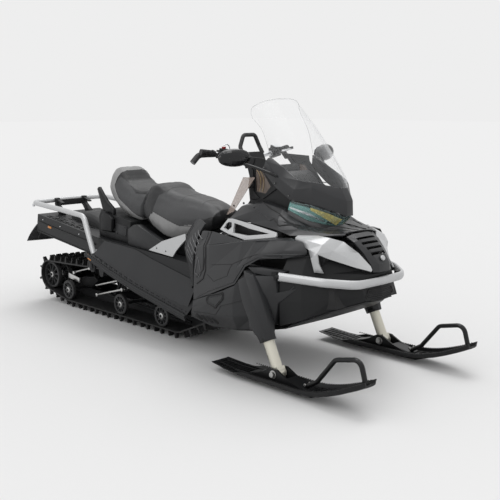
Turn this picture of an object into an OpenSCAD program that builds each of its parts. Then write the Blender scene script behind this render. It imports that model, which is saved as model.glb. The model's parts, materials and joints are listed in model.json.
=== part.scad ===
// Utility snowmobile. Every station along X is measured from the ski pivot bolts, forward positive,
// then origin_shift moves the whole machine so that its origin lies under the middle of its box.

/* [Overall] */
// Distance between the centre lines of the two skis
ski_stance = 900; // [820:10:1080]
// Inner width of the tunnel over the track
tunnel_w = 536; // [500:1:640]
// Top of the windshield above the floor
shield_top = 1475; // [1250:5:1600]

/* [Skis and legs] */
// Length of a ski behind its pivot bolt
ski_tail = 450; // [380:5:520]
// Length of a ski ahead of its pivot bolt
ski_nose = 590; // [480:5:680]
// Width of a ski
ski_w = 165; // [120:1:200]
// Lean of the strut axis from upright
strut_lean = 25.5; // [18:0.5:30]
// Outside diameter of the sliding leg tube
leg_d = 60; // [44:1:66]
// Outside diameter of the fixed strut tube
strut_d = 84; // [80:1:96]
// Diameter of the ski pivot bolt
pivot_bolt_d = 16; // [10:1:20]

/* [Track and suspension] */
// Free space between the belt and each wall of the tunnel
track_clear = 14; // [8:1:40]
// Diameter of the two pairs of rear idler wheels
rear_wheel_d = 200; // [160:1:220]
// Diameter of the bogie wheels
bogie_d = 140; // [110:1:150]
// Thickness of the track belt
belt_t = 10; // [6:1:14]
// Height of the track lugs
lug_h = 38; // [25:1:45]
// Distance between lug rows
lug_pitch = 73; // [60:1:90]

/* [Tunnel and rack] */
// Thickness of the tunnel sheet
tunnel_t = 5; // [3:0.5:8]
// Outside diameter of the rack tube
rack_d = 36; // [25:1:42]
// Distance of the rack tube's centre line from the tunnel side
rack_out = 39; // [32:1:60]
// Bore of the tow hitch for its pin
hitch_bore_d = 20; // [12:0.5:26]

/* [Body] */
// Thickness of the body panels
panel_t = 5; // [3:0.5:8]
// Height of the bumper bar section
bumper_h = 46; // [34:1:54]

/* [Handlebar] */
// Outside diameter of the bar
bar_d = 24; // [20:1:26]
// Outside diameter of the hand grips
grip_d = 34; // [30:1:38]
// Half width of the bar over the grip ends
bar_half_w = 390; // [340:5:400]
// Lean of the steering column from upright
column_lean = 26; // [20:0.5:32]

/* [Hidden] */

$fn = 48;
origin_shift = 1061;
half_stance = ski_stance / 2;
// Clearance between pieces that seat on one another
clear = 0.3;
tunnel_half = tunnel_w / 2;
tunnel_side = tunnel_half + tunnel_t;
track_w = tunnel_w - 2 * track_clear;
rack_half_w = tunnel_side + rack_out;

// Plan of the joints
pivot_z = 74;
column_foot = [-352, 0, 560];
post_d = 32;
column_len = 640;

// Heights along the machine
floor_belt = lug_h + belt_t;
tunnel_line = [[-2630, 643], [-1850, 551], [-700, 492]];
tunnel_side_low = [[-2655, 512], [-1950, 428], [-1874, 420], [-1856, 296], [-1838, 284], [-1818, 288],
    [-1788, 412], [-1600, 392], [-1240, 366], [-1218, 308], [-1142, 308], [-1120, 356], [-700, 330]];

// ---------- helpers ----------
module place() { translate([origin_shift, 0, 0]) children(); }
module mirrored() { children(); mirror([0, 1, 0]) children(); }
function lerp(a, b, t) = a + (b - a) * t;
function unit(v) = v / norm(v);
function flip(p) = [p[0], -p[1], p[2]];
function clampi(i, n) = max(0, min(n - 1, i));

// Height at station x of a line given as [[x, z], ...] with rising x
function line_z(line, x) = let(n = len(line),
    k = max([for (i = [0:n - 2]) (x >= line[i][0] || i == 0) ? i : 0]))
    lerp(line[k][1], line[k + 1][1], (x - line[k][0]) / (line[k + 1][0] - line[k][0]));

// Outward normal of a point grid: rows run forward, columns as the outward rule needs
function grid_normal(P, i, j) = let(m = len(P), n = len(P[0]),
    u = P[clampi(i + 1, m)][j] - P[clampi(i - 1, m)][j],
    v = P[i][clampi(j + 1, n)] - P[i][clampi(j - 1, n)]) unit(cross(u, v));
function inset_grid(P, t) = [for (i = [0:len(P) - 1])
    [for (j = [0:len(P[0]) - 1]) P[i][j] - t * grid_normal(P, i, j)]];

function deck(x) = line_z(tunnel_line, x) + clear;

// Closed sheet between an outer and an inner point grid of the same size
module sheet_between(P, Q) {
    m = len(P);
    n = len(P[0]);
    o = m * n;
    pts = concat([for (r = P) for (p = r) p], [for (r = Q) for (p = r) p]);
    skin = [for (i = [0:m - 2]) for (j = [0:n - 2])
        let(a = i * n + j, b = a + n, c = b + 1, d = a + 1)
        each [[a, d, c], [a, c, b], [o + a, o + c, o + d], [o + a, o + b, o + c]]];
    ends = [for (j = [0:n - 2]) for (e = [0, 1])
        let(a = e == 0 ? j : (m - 1) * n + j + 1, b = e == 0 ? j + 1 : (m - 1) * n + j)
        each [[a, o + a, o + b], [a, o + b, b]]];
    sides = [for (i = [0:m - 2]) for (e = [0, 1])
        let(a = e == 0 ? (i + 1) * n : i * n + n - 1, b = e == 0 ? i * n : (i + 1) * n + n - 1)
        each [[a, o + a, o + b], [a, o + b, b]]];
    polyhedron(points = pts, faces = concat(skin, ends, sides), convexity = 8);
}
module slab(P, t = panel_t) sheet_between(P, inset_grid(P, t));

// Solid through closed rings that all have the same number of points
module loft(rings) {
    m = len(rings);
    n = len(rings[0]);
    wall = [for (i = [0:m - 2]) for (j = [0:n - 1])
        let(a = i * n + j, b = i * n + (j + 1) % n, c = b + n, d = a + n)
        each [[a, c, b], [a, d, c]]];
    caps = [[for (j = [0:n - 1]) j], [for (j = [n - 1:-1:0]) (m - 1) * n + j]];
    polyhedron(points = [for (r = rings) for (p = r) p], faces = concat(wall, caps), convexity = 6);
}

// Catmull-Rom point between b and c, and a row or grid made finer with it
function crom(a, b, c, d, t) = 0.5 * ((2 * b) + (c - a) * t + (2 * a - 5 * b + 4 * c - d) * t * t
    + (3 * b - a - 3 * c + d) * t * t * t);
function finer(R, k) = let(n = len(R)) [for (i = [0:n - 2]) for (s = [0:k - 1])
    crom(R[clampi(i - 1, n)], R[i], R[i + 1], R[clampi(i + 2, n)], s / k), R[n - 1]];
function finer_grid(P, k, l) = finer([for (r = P) finer(r, l)], k);

// Path with its inner corners replaced by arcs of radius r
function arc_corner(a, b, c, r, n) = let(u = unit(a - b), v = unit(c - b),
    ang = acos(max(-1, min(1, u * v))))
    ang > 172 ? [b] :
    let(t = min(r / tan(ang / 2), norm(a - b) * 0.49, norm(c - b) * 0.49), rr = t * tan(ang / 2),
        mid = b + unit(u + v) * rr / sin(ang / 2), p = b + u * t - mid, q = b + v * t - mid,
        w = 180 - ang)
    [for (k = [0:n]) mid + (p * sin(w * (1 - k / n)) + q * sin(w * k / n)) / sin(w)];
function bend(P, r, n = 5) = concat([P[0]],
    [for (i = [1:len(P) - 2]) each arc_corner(P[i - 1], P[i], P[i + 1], r, n)], [P[len(P) - 1]]);

// Frames carried along a path, and a tube of elliptic section swept on it
function tangents(P) = let(n = len(P)) [for (i = [0:n - 1])
    unit(P[clampi(i + 1, n)] - P[clampi(i - 1, n)])];
function carried(T, v, i) = i == 0 ? v : let(p = carried(T, v, i - 1)) unit(p - T[i] * (p * T[i]));
module sweep(P, r1, r2, up = [0, 0, 1], sides = 16) {
    T = tangents(P);
    first = unit(up - T[0] * (up * T[0]));
    loft([for (i = [0:len(P) - 1]) let(b = carried(T, first, i), a = cross(T[i], b))
        [for (k = [0:sides - 1]) P[i] + a * r1 * sin(360 * k / sides) + b * r2 * cos(360 * k / sides)]]);
}
module tube(P, d, sides = 16) sweep(P, d / 2, d / 2, [0.1, 0.2, 1], sides);

// Cylinder between two points
module rod(a, b, d, extra = 0) {
    v = b - a;
    h = norm(v);
    translate(a) rotate([0, acos(v[2] / h), atan2(v[1], v[0])])
        translate([0, 0, -extra]) cylinder(d = d, h = h + 2 * extra);
}
// Thin stay from a base point to just under a vertex of a panel of thickness t
module stay(base, P, i, j, t) {
    r = 2.6;
    $fn = 8;
    tip = P[i][j] - (t + 0.55 + r) * grid_normal(P, i, j);
    rod(base, tip, 2 * r);
    translate(tip) sphere(r = r);
}
// Outline in the XZ plane made wide between two values of y
module across(y0, y1) translate([0, y1, 0]) rotate([90, 0, 0]) linear_extrude(y1 - y0) children();

// ---------- tunnel, boards, rack ----------
module tunnel_outline() polygon(concat(
    [for (p = tunnel_line) p], [for (i = [len(tunnel_side_low) - 1:-1:0]) tunnel_side_low[i]]));
module tunnel_inner() polygon(concat([for (p = tunnel_line) [p[0], p[1] - tunnel_t]],
    [[-690, 200], [-2700, 200], [-2700, 636]]));
module tunnel() place() color("#2b2c2e") difference() {
    across(-tunnel_side, tunnel_side) tunnel_outline();
    across(-tunnel_half, tunnel_half) tunnel_inner();
    // Open slots in the deck behind the seat
    for (s = [-1, 1], k = [0:4], r = [0:1])
        translate([-2480 + 95 * k, s * (150 + 42 * r), 560]) cube([50, 12, 140], center = true);
}

board_in = tunnel_side + 6.3;
board_out = 402;
board_line = [[-1930, 446], [-1820, 463], [-1550, 384], [-1295, 319], [-800, 222]];
board_edge_d = 24;
function board_top(x) = line_z(board_line, x);
function board_inner(x) = board_top(x) + lerp(34, 92, max(0, (x + 1820) / 1015));
board_rows = [-1790, -1700, -1550, -1420, -1295, -1170, -1056, -930, -805];
module board_right() difference() {
    union() {
        slab([for (x = board_rows) let(z = board_top(x), zi = board_inner(x))
            [[x, -board_out, z - 34], [x, -board_out, z], [x, -board_out + 14, z + 3],
             [x, -board_in - 6, zi], [x, -board_in, zi + 22]]], 6);
        tube(concat([[-1958, -board_in - 12, 426], [-1925, -330, 440]],
            [for (x = concat([-1822], board_rows)) [x, -board_out + 4, board_top(x) - 8]]), board_edge_d, 12);
    }
    for (k = [0:8], r = [0:1]) let(x = -1690 + 98 * k)
        translate([x, -306 - 50 * r, board_top(x)]) cube([52, 12, 260], center = true);
}
module running_boards() place() color("#26272a") mirrored() board_right();

rack_z = 732;
rack_corner_x = -2628;
rack_path = bend([[-1822, -rack_half_w - 18, 424], [-1958, -rack_half_w - 6, 694],
    [-2250, -rack_half_w, 712], [rack_corner_x, -rack_half_w, rack_z],
    [rack_corner_x - 14, 0, rack_z + 4],
    [rack_corner_x, rack_half_w, rack_z], [-2250, rack_half_w, 712],
    [-1958, rack_half_w + 6, 694], [-1822, rack_half_w + 18, 424]], 62, 6);
// Bolted foot that ties each end of the tube to the tunnel side
module rack_foot() across(-rack_half_w - 10, -tunnel_side - clear)
    polygon([[-1856, 436], [-1812, 428], [-1822, 470], [-1850, 476]]);
module rear_rack() place() color("#b9bbbd") {
    tube(rack_path, rack_d, 20);
    mirrored() rack_foot();
}

module tail_light() place() color("#1d1e20") {
    for (s = [-1, 1]) {
        across(s * 118 - 17, s * 118 + 17) polygon([[-2618.4, 752], [-2596, 752], [-2586, 700],
            [-2520, 652], [-2520, deck(-2520)], [-2566, deck(-2566)], [-2612, 690]]);
    }
    translate([-2604, 0, 716]) cube([22, 236 - 34, 42], center = true);
}

module snow_flap() place() color("#2a2b2d") slab([for (k = [0:4]) let(t = k / 4,
    x = lerp(-2650.6, -2712, sin(90 * t)), z = lerp(566, 431, t), w = lerp(tunnel_side, 326, t))
    [for (s = [-1:0.5:1]) [x, -s * w, z + 8 * s * s * t]]], 6);

// Two plates with the pin's bore between them, and the block that carries them under the deck
hitch_half = 42;
module hitch_bar(x, z, l, h) translate([x, -hitch_half, z]) cube([l, 2 * hitch_half, h]);
module tow_hitch() place() color("#222325") difference() {
    union() {
        hitch_bar(-2712, 572, 82, 10);
        hitch_bar(-2712, 608, 82, 10);
        hitch_bar(-2642, 582, 12, 26);
        hitch_bar(-2629, 608, 32, 25.6);
        hitch_bar(-2636, 608, 12, 10);
    }
    translate([-2690, 0, 560]) cylinder(d = hitch_bore_d, h = 90);
}

// Low deck cover on the tunnel behind the seat box
module cargo_cover() place() color("#222326") {
    loft([for (k = [0:6]) let(t = k / 6, x = lerp(-2400, -1975, t),
        h = 14 + 62 * sin(180 * min(1, 0.18 + 0.8 * t)))
        [for (a = [0:9]) let(c = cos(20 * a), s = sin(20 * a))
            [x, 128 * (abs(c) ^ 0.7) * sign(c), deck(x) + h * s ^ 0.7]]]);
}

// ---------- seat ----------
// Half ring of a seat section: low half width, widest half width, top half width and crown
function seat_ring(x, z0, z1, w0, wm, wt, zm) = let(half = [
    [w0, z0], [wm, lerp(z0, zm, 0.35)], [wm, zm], [lerp(wm, wt, 0.45), lerp(zm, z1, 0.62)],
    [wt, lerp(zm, z1, 0.95)], [wt * 0.8, z1], [wt * 0.3, z1 + 1]])
    concat([for (p = half) [x, p[0], p[1]]],
        [for (k = [len(half) - 1:-1:0]) [x, -half[k][0], half[k][1]]]);
module driver_seat() place() color("#4b4c4e") loft(finer([
    seat_ring(-1500, 712, 915, 150, 178, 120, 790),
    seat_ring(-1440, 668, 938, 170, 196, 128, 800),
    seat_ring(-1360, 634, 925, 180, 204, 132, 800),
    seat_ring(-1290, 612, 886, 184, 206, 134, 780),
    seat_ring(-1200, 600, 868, 184, 204, 130, 750),
    seat_ring(-1080, 622, 856, 170, 192, 112, 740),
    seat_ring(-960, 660, 838, 140, 168, 88, 750),
    seat_ring(-862, 700, 818, 104, 128, 62, 766)], 2));
module passenger_seat() place() color("#3a3b3d") loft(finer([
    seat_ring(-1920, 846, 1000, 96, 128, 84, 906),
    seat_ring(-1880, 812, 1018, 116, 158, 98, 900),
    seat_ring(-1815, 770, 1014, 140, 184, 102, 880),
    seat_ring(-1740, 736, 930, 158, 200, 110, 846),
    seat_ring(-1640, 706, 884, 168, 204, 124, 812),
    seat_ring(-1560, 690, 876, 172, 202, 128, 800),
    seat_ring(-1504, 686, 890, 158, 186, 124, 796)], 2));

module seat_box() place() color("#222325") {
    difference() {
        across(-226, 226) polygon([[-1912, deck(-1912)], [-1912, 690], [-1880, 742], [-1760, 715],
            [-1640, 699], [-1560, 689.7], [-1555.3, 680], [-1555.3, deck(-1555)]]);
        for (s = [-1, 1]) translate([-1800, s * 226, 640]) cube([150, 60, 90], center = true);
    }
    across(-170, 170) polygon([[-1555, deck(-1555)], [-1555, 662], [-1500, 655], [-1420, 630],
        [-1330, 604], [-1200, 599.7], [-1060, 612], [-1000, 622], [-960, 630], [-960, deck(-960)]]);
}
module seat_wedges() place() color("#303133") mirrored()
    across(-252, -208) polygon([[-1552, deck(-1552)], [-1552, 640], [-1490, 676], [-1446, 678],
        [-1196, 596], [-1334, deck(-1334)]]);
module grab_handles() place() color("#1b1c1e") mirrored() {
    across(-226, -200) polygon([[-1866, 739.2], [-1892, 800], [-1925, 876], [-1908, 892], [-1862, 842],
        [-1812, 796], [-1742, 752], [-1742, 713.2], [-1760, 715.6]]);
    across(-252, -226.3) polygon([[-1852, 606], [-1852, 700], [-1816, 730], [-1756, 710], [-1730, 690],
        [-1738, 606]]);
}
module brace_plates() place() color("#c0c2c4") mirrored() difference() {
    across(-260, -252.3) polygon([[-1322, 532], [-1186, 604], [-960, 676], [-958, 640], [-1000, 606],
        [-1050, 560], [-1086, 518]]);
    for (p = [[-1240, 553], [-1150, 545]]) across(-270, -240) translate(p) circle(d = 12);
}

// ---------- body panels ----------
// Right side panel: rows run forward, points from the low zigzag edge up to the top edge
side_rows = [
    [[-738, -392, 330], [-730, -394, 480], [-716, -386, 640], [-704, -344, 732]],
    [[-590, -408, 386], [-588, -408, 520], [-590, -402, 662], [-618, -344, 736]],
    [[-355, -430, 484], [-340, -430, 570], [-322, -404, 718], [-356, -366, 714]],
    [[-262, -434, 596], [-256, -432, 624], [-230, -400, 733], [-250, -352, 736]],
    [[-172, -430, 644], [-168, -424, 674], [-130, -392, 745], [-140, -326, 752]],
    [[-40, -380, 660], [-40, -384, 700], [-30, -366, 752], [-52, -318, 758]],
    [[66, -322, 684], [76, -328, 706], [46, -326, 752], [0, -316, 752]]];
module side_panel() slab(side_rows);
module side_panel_right() place() color("#2f3032") side_panel();
module side_panel_left() place() color("#2f3032") mirror([0, 1, 0]) side_panel();

// Right lower panel: from the belly edge up to the zigzag gap under the side panel
lower_rows = [
    [[-752, -396, 226], [-752, -398, 256], [-740, -398, 290], [-742, -393, 324]],
    [[-640, -352, 186], [-620, -408, 262], [-600, -412, 320], [-592, -408, 380]],
    [[-520, -352, 196], [-521, -418, 280], [-470, -422, 340], [-478, -418, 424]],
    [[-390, -374, 214], [-370, -428, 300], [-372, -430, 372], [-352, -430, 478]],
    [[-224, -392, 250], [-222, -402, 330], [-252, -406, 420], [-304, -418, 540]]];
module lower_panel() slab(lower_rows);
module lower_panel_right() place() color("#2c2d2f") lower_panel();
module lower_panel_left() place() color("#2c2d2f") mirror([0, 1, 0]) lower_panel();

// Ribbed knee pad ahead of the foot well
knee_rows = [
    [[-800, -345, 378], [-900, -290, 500], [-936, -288, 600], [-926, -262, 700], [-880, -238, 772]],
    [[-776, -374, 394], [-820, -346, 500], [-850, -340, 600], [-845, -316, 700], [-800, -276, 782]],
    [[-748, -388, 408], [-745, -388, 500], [-742, -384, 600], [-738, -350, 700], [-720, -312, 768]]];
module knee_pads() place() color("#2b2c2e") mirrored() slab(finer_grid(knee_rows, 3, 2), 8);

// Trim ring around the two side vents
vent_t = 12;
function vent_y(p) = -300 - 50 * max(0, min(1, (790 - p[1]) / 60));
module vent_trims() place() color("#c4c6c8") mirrored() difference() {
    slab([[for (p = [[-572, 752], [-566, 776], [-540, 812]]) [p[0], vent_y(p), p[1]]],
          [for (p = [[-500, 738], [-500, 772], [-500, 816]]) [p[0], vent_y(p), p[1]]],
          [for (p = [[-357, 718], [-357, 756], [-357, 800]]) [p[0], vent_y(p), p[1]]],
          [for (p = [[-146, 754], [-148, 762], [-152, 776]]) [p[0], vent_y(p), p[1]]]], vent_t);
    across(-400, -200) polygon([[-552, 760], [-545, 784], [-526, 796], [-502, 794], [-494, 770],
        [-510, 748]]);
    across(-400, -200) polygon([[-482, 794], [-472, 792], [-352, 776], [-196, 765], [-350, 740],
        [-462, 744], [-478, 766]]);
}

// Hood: rows run forward, columns from right to left through the crown
hood_half = [
    [[-556, -280, 804], [-506, -226, 880], [-470, -150, 905], [-470, -70, 910]],
    [[-380, -284, 805], [-372, -262, 868], [-352, -214, 912], [-350, -70, 922]],
    [[-166, -292, 784], [-190, -262, 836], [-210, -206, 886], [-190, -70, 900]],
    [[-62, -304, 769], [-56, -246, 797], [-64, -176, 802], [-44, -70, 786]],
    [[98, -190, 772], [98, -176, 780], [78, -140, 784], [70, -70, 782]],
    [[150, -128, 772], [152, -120, 777], [140, -100, 781], [130, -60, 783]]];
function full_row(r) = concat(r, [for (k = [len(r) - 1:-1:0]) flip(r[k])]);
hood_full = [for (r = hood_half) full_row(r)];
module hood() place() color("#2e2f31") slab(hood_full);

// Grille panel from the hood's front edge down to the nose tip
grille_half = [
    [[158, -112, 766], [158, -60, 776]],
    [[200, -104, 742], [206, -56, 752]],
    [[254, -92, 690], [268, -50, 700]],
    [[300, -82, 628], [318, -44, 634]],
    [[306, -76, 594], [322, -42, 592]]];
grille_full = [for (r = grille_half) full_row(r)];
module nose_grille() place() color("#1c1d1f") difference() {
    slab(grille_full, 8);
    for (k = [0:3]) let(x = 196 + 26 * k, z = 754 - 25 * k)
        translate([x, 0, z]) rotate([0, -45, 0]) cube([70, 148 - 12 * k, 17], center = true);
}

// Silver fairing beside the nose with its lower prong
fairing_rows = [
    [[-20, -312, 746], [-26, -304, 764], [-18, -294, 774]],
    [[64, -306, 712], [62, -284, 750], [60, -222, 774]],
    [[118, -300, 694], [122, -262, 736], [118, -196, 764]],
    [[150, -252, 668], [160, -220, 704], [160, -140, 744]],
    [[244, -150, 622], [250, -130, 640], [232, -106, 690]],
    [[312, -98, 602], [312, -92, 610], [300, -88, 626]]];
prong_rows = [
    [[100, -298, 596], [82, -306, 668], [66, -306, 710]],
    [[140, -272, 592], [122, -290, 640], [119, -301, 692]]];
module nose_fairings() place() color("#b4b6b9") mirrored() { slab(fairing_rows, 8); slab(prong_rows, 8); }

// Headlight under the windshield fairing
module headlight_housing() place() color("#17181a") {
    slab([for (r = [
        [[-168, -204, 884], [-150, -203, 932]],
        [[-86, -143, 830], [-62, -146, 908]],
        [[-30, -84, 810], [9, -76, 870]],
        [[6, -26, 798], [58, -24, 842]],
        [[6, 26, 798], [58, 24, 842]],
        [[-30, 84, 810], [9, 76, 870]],
        [[-86, 143, 830], [-62, 146, 908]],
        [[-168, 204, 884], [-150, 203, 932]]]) r], 8);
    mirrored() stay([4, -74, 862], visor, 4, 0, visor_t);
}
module headlight_lens() place() color("#9fc4bd") slab([for (r = [
    [[-158, -212, 888], [-142, -211, 934]],
    [[-76, -150, 832], [-52, -154, 914]],
    [[-20, -90, 812], [22, -84, 878]],
    [[16, -30, 800], [74, -28, 850]],
    [[16, 30, 800], [74, 28, 850]],
    [[-20, 90, 812], [22, 84, 878]],
    [[-76, 150, 832], [-52, 154, 914]],
    [[-158, 212, 888], [-142, 211, 934]]]) r], 4);

// Black fairing that carries the windshield
visor_t = 6;
visor_half = [
    [[-362, -206, 1086], [-350, -196, 1140], [-330, -172, 1158]],
    [[-256, -214, 1000], [-250, -210, 1060], [-236, -180, 1110]],
    [[-150, -214, 942], [-130, -206, 1000], [-120, -186, 1046]],
    [[-44, -158, 924], [-50, -154, 1010], [-56, -140, 1036]],
    [[30, -84, 890], [24, -80, 966], [-4, -76, 1018]],
    [[88, -26, 858], [84, -26, 938], [44, -26, 1004]]];
module windshield_fairing() place() color("#232426") slab(visor, visor_t);

visor = concat(visor_half, [for (k = [len(visor_half) - 1:-1:0]) [for (p = visor_half[k]) flip(p)]]);
// Clear shield: each row climbs from the fairing's upper edge to a point of the rim, heights from its top
shield_t = 4;
shield_bulge = [14, 0, 10];
shield_rim = [[-462, -196, -60], [-452, -186, -42], [-440, -164, -28], [-420, -126, -13],
    [-404, -86, -4], [-396, -40, 0]];
function shield_point(k, t) = let(n = grid_normal(visor, k, 2),
    foot = visor[k][2] + (shield_t + 2 * clear) * n, rim = shield_rim[k] + [0, 0, shield_top])
    lerp(foot, rim, t) + sin(180 * t) * shield_bulge;
shield_half = [for (k = [0:5]) [for (t = [0:0.25:1]) shield_point(k, t)]];
module windshield() place() color("#e8eef0", 0.4) slab(finer_grid(concat(shield_half,
    [for (k = [len(shield_half) - 1:-1:0]) [for (p = shield_half[k]) flip(p)]]), 2, 2), shield_t);

module console() place() color("#26272a") {
    // Frames that stand beside the steering post, each with its triangular hole
    mirrored() difference() {
        union() {
            across(-186, -178) polygon([[-566, 1156], [-372, 1150], [-366, 1120], [-262, 1000], [-380, 926],
                [-480, 914], [-470, 1000], [-500, 1090]]);
            stay([-290, -182, 1006], visor, 1, 0, visor_t);
            rod([-450, -184, 990], [-450, -228.3, 990], 10);
        }
        across(-220, -170) polygon([[-520, 1140], [-466, 1140], [-474, 1104]]);
        across(-220, -170) polygon([[-440, 1100], [-396, 1096], [-320, 1000], [-360, 956], [-430, 964]]);
    }
    // Dash plate, and the knee bulkhead with the bore that guides the steering post
    across(-177.7, 177.7) polygon([[-376, 1130], [-366, 1130], [-294, 1010], [-304, 1006]]);
    difference() {
        across(-177.7, 177.7) polygon([[-482, 934], [-474, 934], [-474, 912], [-540, 830], [-690, 780],
            [-700, 786], [-548, 838], [-482, 918]]);
        on_column() cylinder(d = post_d + 2 * clear, h = 500);
    }
}

// Tinted side deflectors
function deflector_y(z) = -226 - 0.13 * (1046 - z);
module wind_deflectors() place() color("#8a766c", 0.6) mirrored() {
    slab([[for (z = [824, 930, 1042]) [lerp(-600, -494, (z - 824) / 218), deflector_y(z), z]],
          [for (z = [846, 930, 1046]) [lerp(-548, -402, (z - 846) / 200), deflector_y(z), z]]], 4);
}

mirror_centre = [-412, -372, 1160];
mirror_half_w = 98;
// Oval mirrors with arms from the windshield fairing
module mirrors() place() color("#1e1f21") mirrored() {
    translate(mirror_centre) rotate([0, 0, -14]) loft([for (k = [0:10]) let(a = 8 + 164 * k / 10,
        y = mirror_half_w * cos(a), s = sin(a) ^ 0.8)
        [for (j = [0:17]) [32 * s * cos(20 * j), y, 49 * s * sin(20 * j)]]]);
    foot = visor[1][1] + 6.4 * grid_normal(visor, 1, 1);
    tube([foot, foot + [-24, -22, 16], [-340, -276, 1104], [-392, -330, 1128]], 17, 12);
}

// ---------- under the nose ----------
beam_z = 535;
// Rows run forward, columns from left to right so that the sheet faces down
belly_half = [
    [[-640, -340, 178], [-610, -200, 172], [-610, 0, 168]],
    [[-520, -340, 188], [-500, -200, 182], [-500, 0, 180]],
    [[-390, -362, 206], [-380, -200, 206], [-380, 0, 204]],
    [[-232, -380, 238], [-220, -200, 238], [-220, 0, 236]],
    [[-20, -376, 290], [-20, -200, 286], [-20, 0, 284]],
    [[60, -342, 332], [60, -200, 330], [60, 0, 326]],
    [[170, -230, 390], [170, -140, 384], [170, 0, 380]],
    [[290, -110, 440], [296, -70, 436], [300, 0, 434]]];
module belly_pan() place() color("#232426") slab(belly, 6);

bumper_path = bend([[-52, -400, 566], [170, -306, 552], [300, -200, 542], [312, 0, 542],
    [300, 200, 542], [170, 306, 552], [-52, 400, 566]], 120, 5);
module bumper() place() color("#bfc1c3") sweep(bumper_path, 13, bumper_h / 2, [0, 0, 1], 16);
// Cowl between bumper and belly, with the carriers at the bar's ends
cowl_t = 6;
cowl_half = [
    [[-56, -386, 300], [-56, -390, 430], [-60, -384, 560], [-50, -350, 630], [-44, -322, 700]],
    [[66, -344, 344], [60, -350, 440], [50, -346, 530], [40, -312, 612], [46, -280, 690]],
    [[176, -232, 400], [176, -246, 450], [170, -240, 530], [150, -220, 586], [134, -196, 648]],
    [[292, -112, 446], [292, -130, 480], [280, -140, 530], [284, -112, 584], [258, -96, 602]],
    [[306, 0, 440], [312, 0, 480], [290, 0, 530], [304, 0, 580], [280, 0, 590]]];
cowl = concat(cowl_half, [for (k = [len(cowl_half) - 2:-1:0]) [for (p = cowl_half[k]) flip(p)]]);
module bumper_carriers() place() color("#202123") {
    slab(cowl, cowl_t);
    mirrored() translate([-108, -414, 546]) cube([50.5, 40, 42]);
}
// Tube frame under the hood that ties the tunnel, the strut towers and the panels together
belly = [for (r = belly_half) concat([for (p = r) flip(p)], [for (k = [len(r) - 2:-1:0]) r[k]])];
module front_frame() place() color("#2c2d30") {
    across_beam = half_stance - 62 - clear;
    $fn = 12;
    rod([-215, -across_beam, beam_z], [-215, across_beam, beam_z], 36);
    mirrored() {
        rod([-760, -120, deck(-760) + 10], [-215, -120, beam_z], 20);
        rod([-215, -120, beam_z], [160, -60, 520], 20);
        rod([-215, -60, beam_z], [-215, -60, 500 + clear], 30);
        rod([-600, -120, 514], [-600, -120, 807], 16);
        rod([-215, -120, beam_z], [-250, -100, 830], 16);
        stay([-215, -330, beam_z], side_rows, 3, 2, panel_t + 0.4);
        stay([-215, -300, beam_z], lower_rows, 3, 3, panel_t);
        stay([-745, -120, 505], finer_grid(knee_rows, 3, 2), 3, 2, 8);
        stay([-250, -100, 830], hood_full, 2, 3, panel_t);
        stay([160, -60, 520], cowl, 2, 2, cowl_t);
        stay([160, -60, 520], fairing_rows, 3, 1, 8);
        stay([160, -60, 520], grille_full, 2, 0, 8);
        stay([-50, -93, 531], belly, 4, 3, 6);
    }
}

// ---------- struts, legs and skis ----------
// Places children in strut axes: origin at the ski pivot, +Z up along the strut
module on_strut(side) translate([0, side * half_stance, pivot_z]) rotate([0, -strut_lean, 0]) children();
leg_low = 24;
knuckle_w = 56;
leg_top = 520;
tower_low = 300;
module strut_tower() on_strut(-1) difference() {
    union() {
        translate([-50, -34, tower_low]) cube([112, 96, 226]);
        translate([0, 0, tower_low - 80]) cylinder(d = strut_d, h = 316);
        translate([0, 0, tower_low - 128]) cylinder(d = strut_d - 10, h = 60);
    }
    translate([0, 0, tower_low - 130]) cylinder(d = leg_d + 2 * clear, h = 420);
}
module strut_towers() place() color("#2a2b2d") mirrored() strut_tower();
module leg(side) {
    on_strut(side) difference() {
        union() {
            translate([0, 0, leg_low]) cylinder(d = leg_d, h = leg_top - leg_low);
            rotate([90, 0, 0]) cylinder(d = leg_d, h = knuckle_w, center = true);
            translate([-leg_d / 2 + 2, -knuckle_w / 2, 0]) cube([leg_d - 4, knuckle_w, leg_low + 6]);
        }
        rotate([90, 0, 0]) cylinder(d = pivot_bolt_d + 0.1, h = 80, center = true);
    }
}
module leg_right() place() color("#c9c7ba") leg(-1);
module leg_left() place() color("#c9c7ba") leg(1);

saddle_gap = 5.3;
// Height of the ski's running face at station x, and its half width
sole_z = 26;
edge_h = 26;
tail_edge_h = 9;
function ski_z(x) = x > 200 ? sole_z + 120 * ((x - 200) / (ski_nose - 200)) ^ 1.7
    : x < -300 ? sole_z + 14 * ((-300 - x) / 150) : sole_z;
function ski_edge(x) = x < -250 ? tail_edge_h : edge_h;
function ski_half(x) = let(f = ski_w / 2) x > 420 ? lerp(f, f * 0.56, (x - 420) / (ski_nose - 420))
    : x < -250 ? lerp(f, f * 0.78, (-250 - x) / (ski_tail - 250)) : f;
ski_stations = [for (k = [0:16]) lerp(-ski_tail, ski_nose, k / 16)];
function ski_under(x) = let(w = ski_half(x), z = ski_z(x), h = ski_edge(x))
    [[x, w, z + h], [x, w - 9, z], [x, 20, z - 4], [x, -20, z - 4], [x, 9 - w, z], [x, -w, z + h]];
function ski_over(x) = let(w = ski_half(x), z = ski_z(x), h = ski_edge(x))
    [[x, w - 6, z + h + 1], [x, w - 16, z + 8], [x, 18, z + 8], [x, -18, z + 8], [x, 16 - w, z + 8],
     [x, 6 - w, z + h + 1]];
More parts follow.
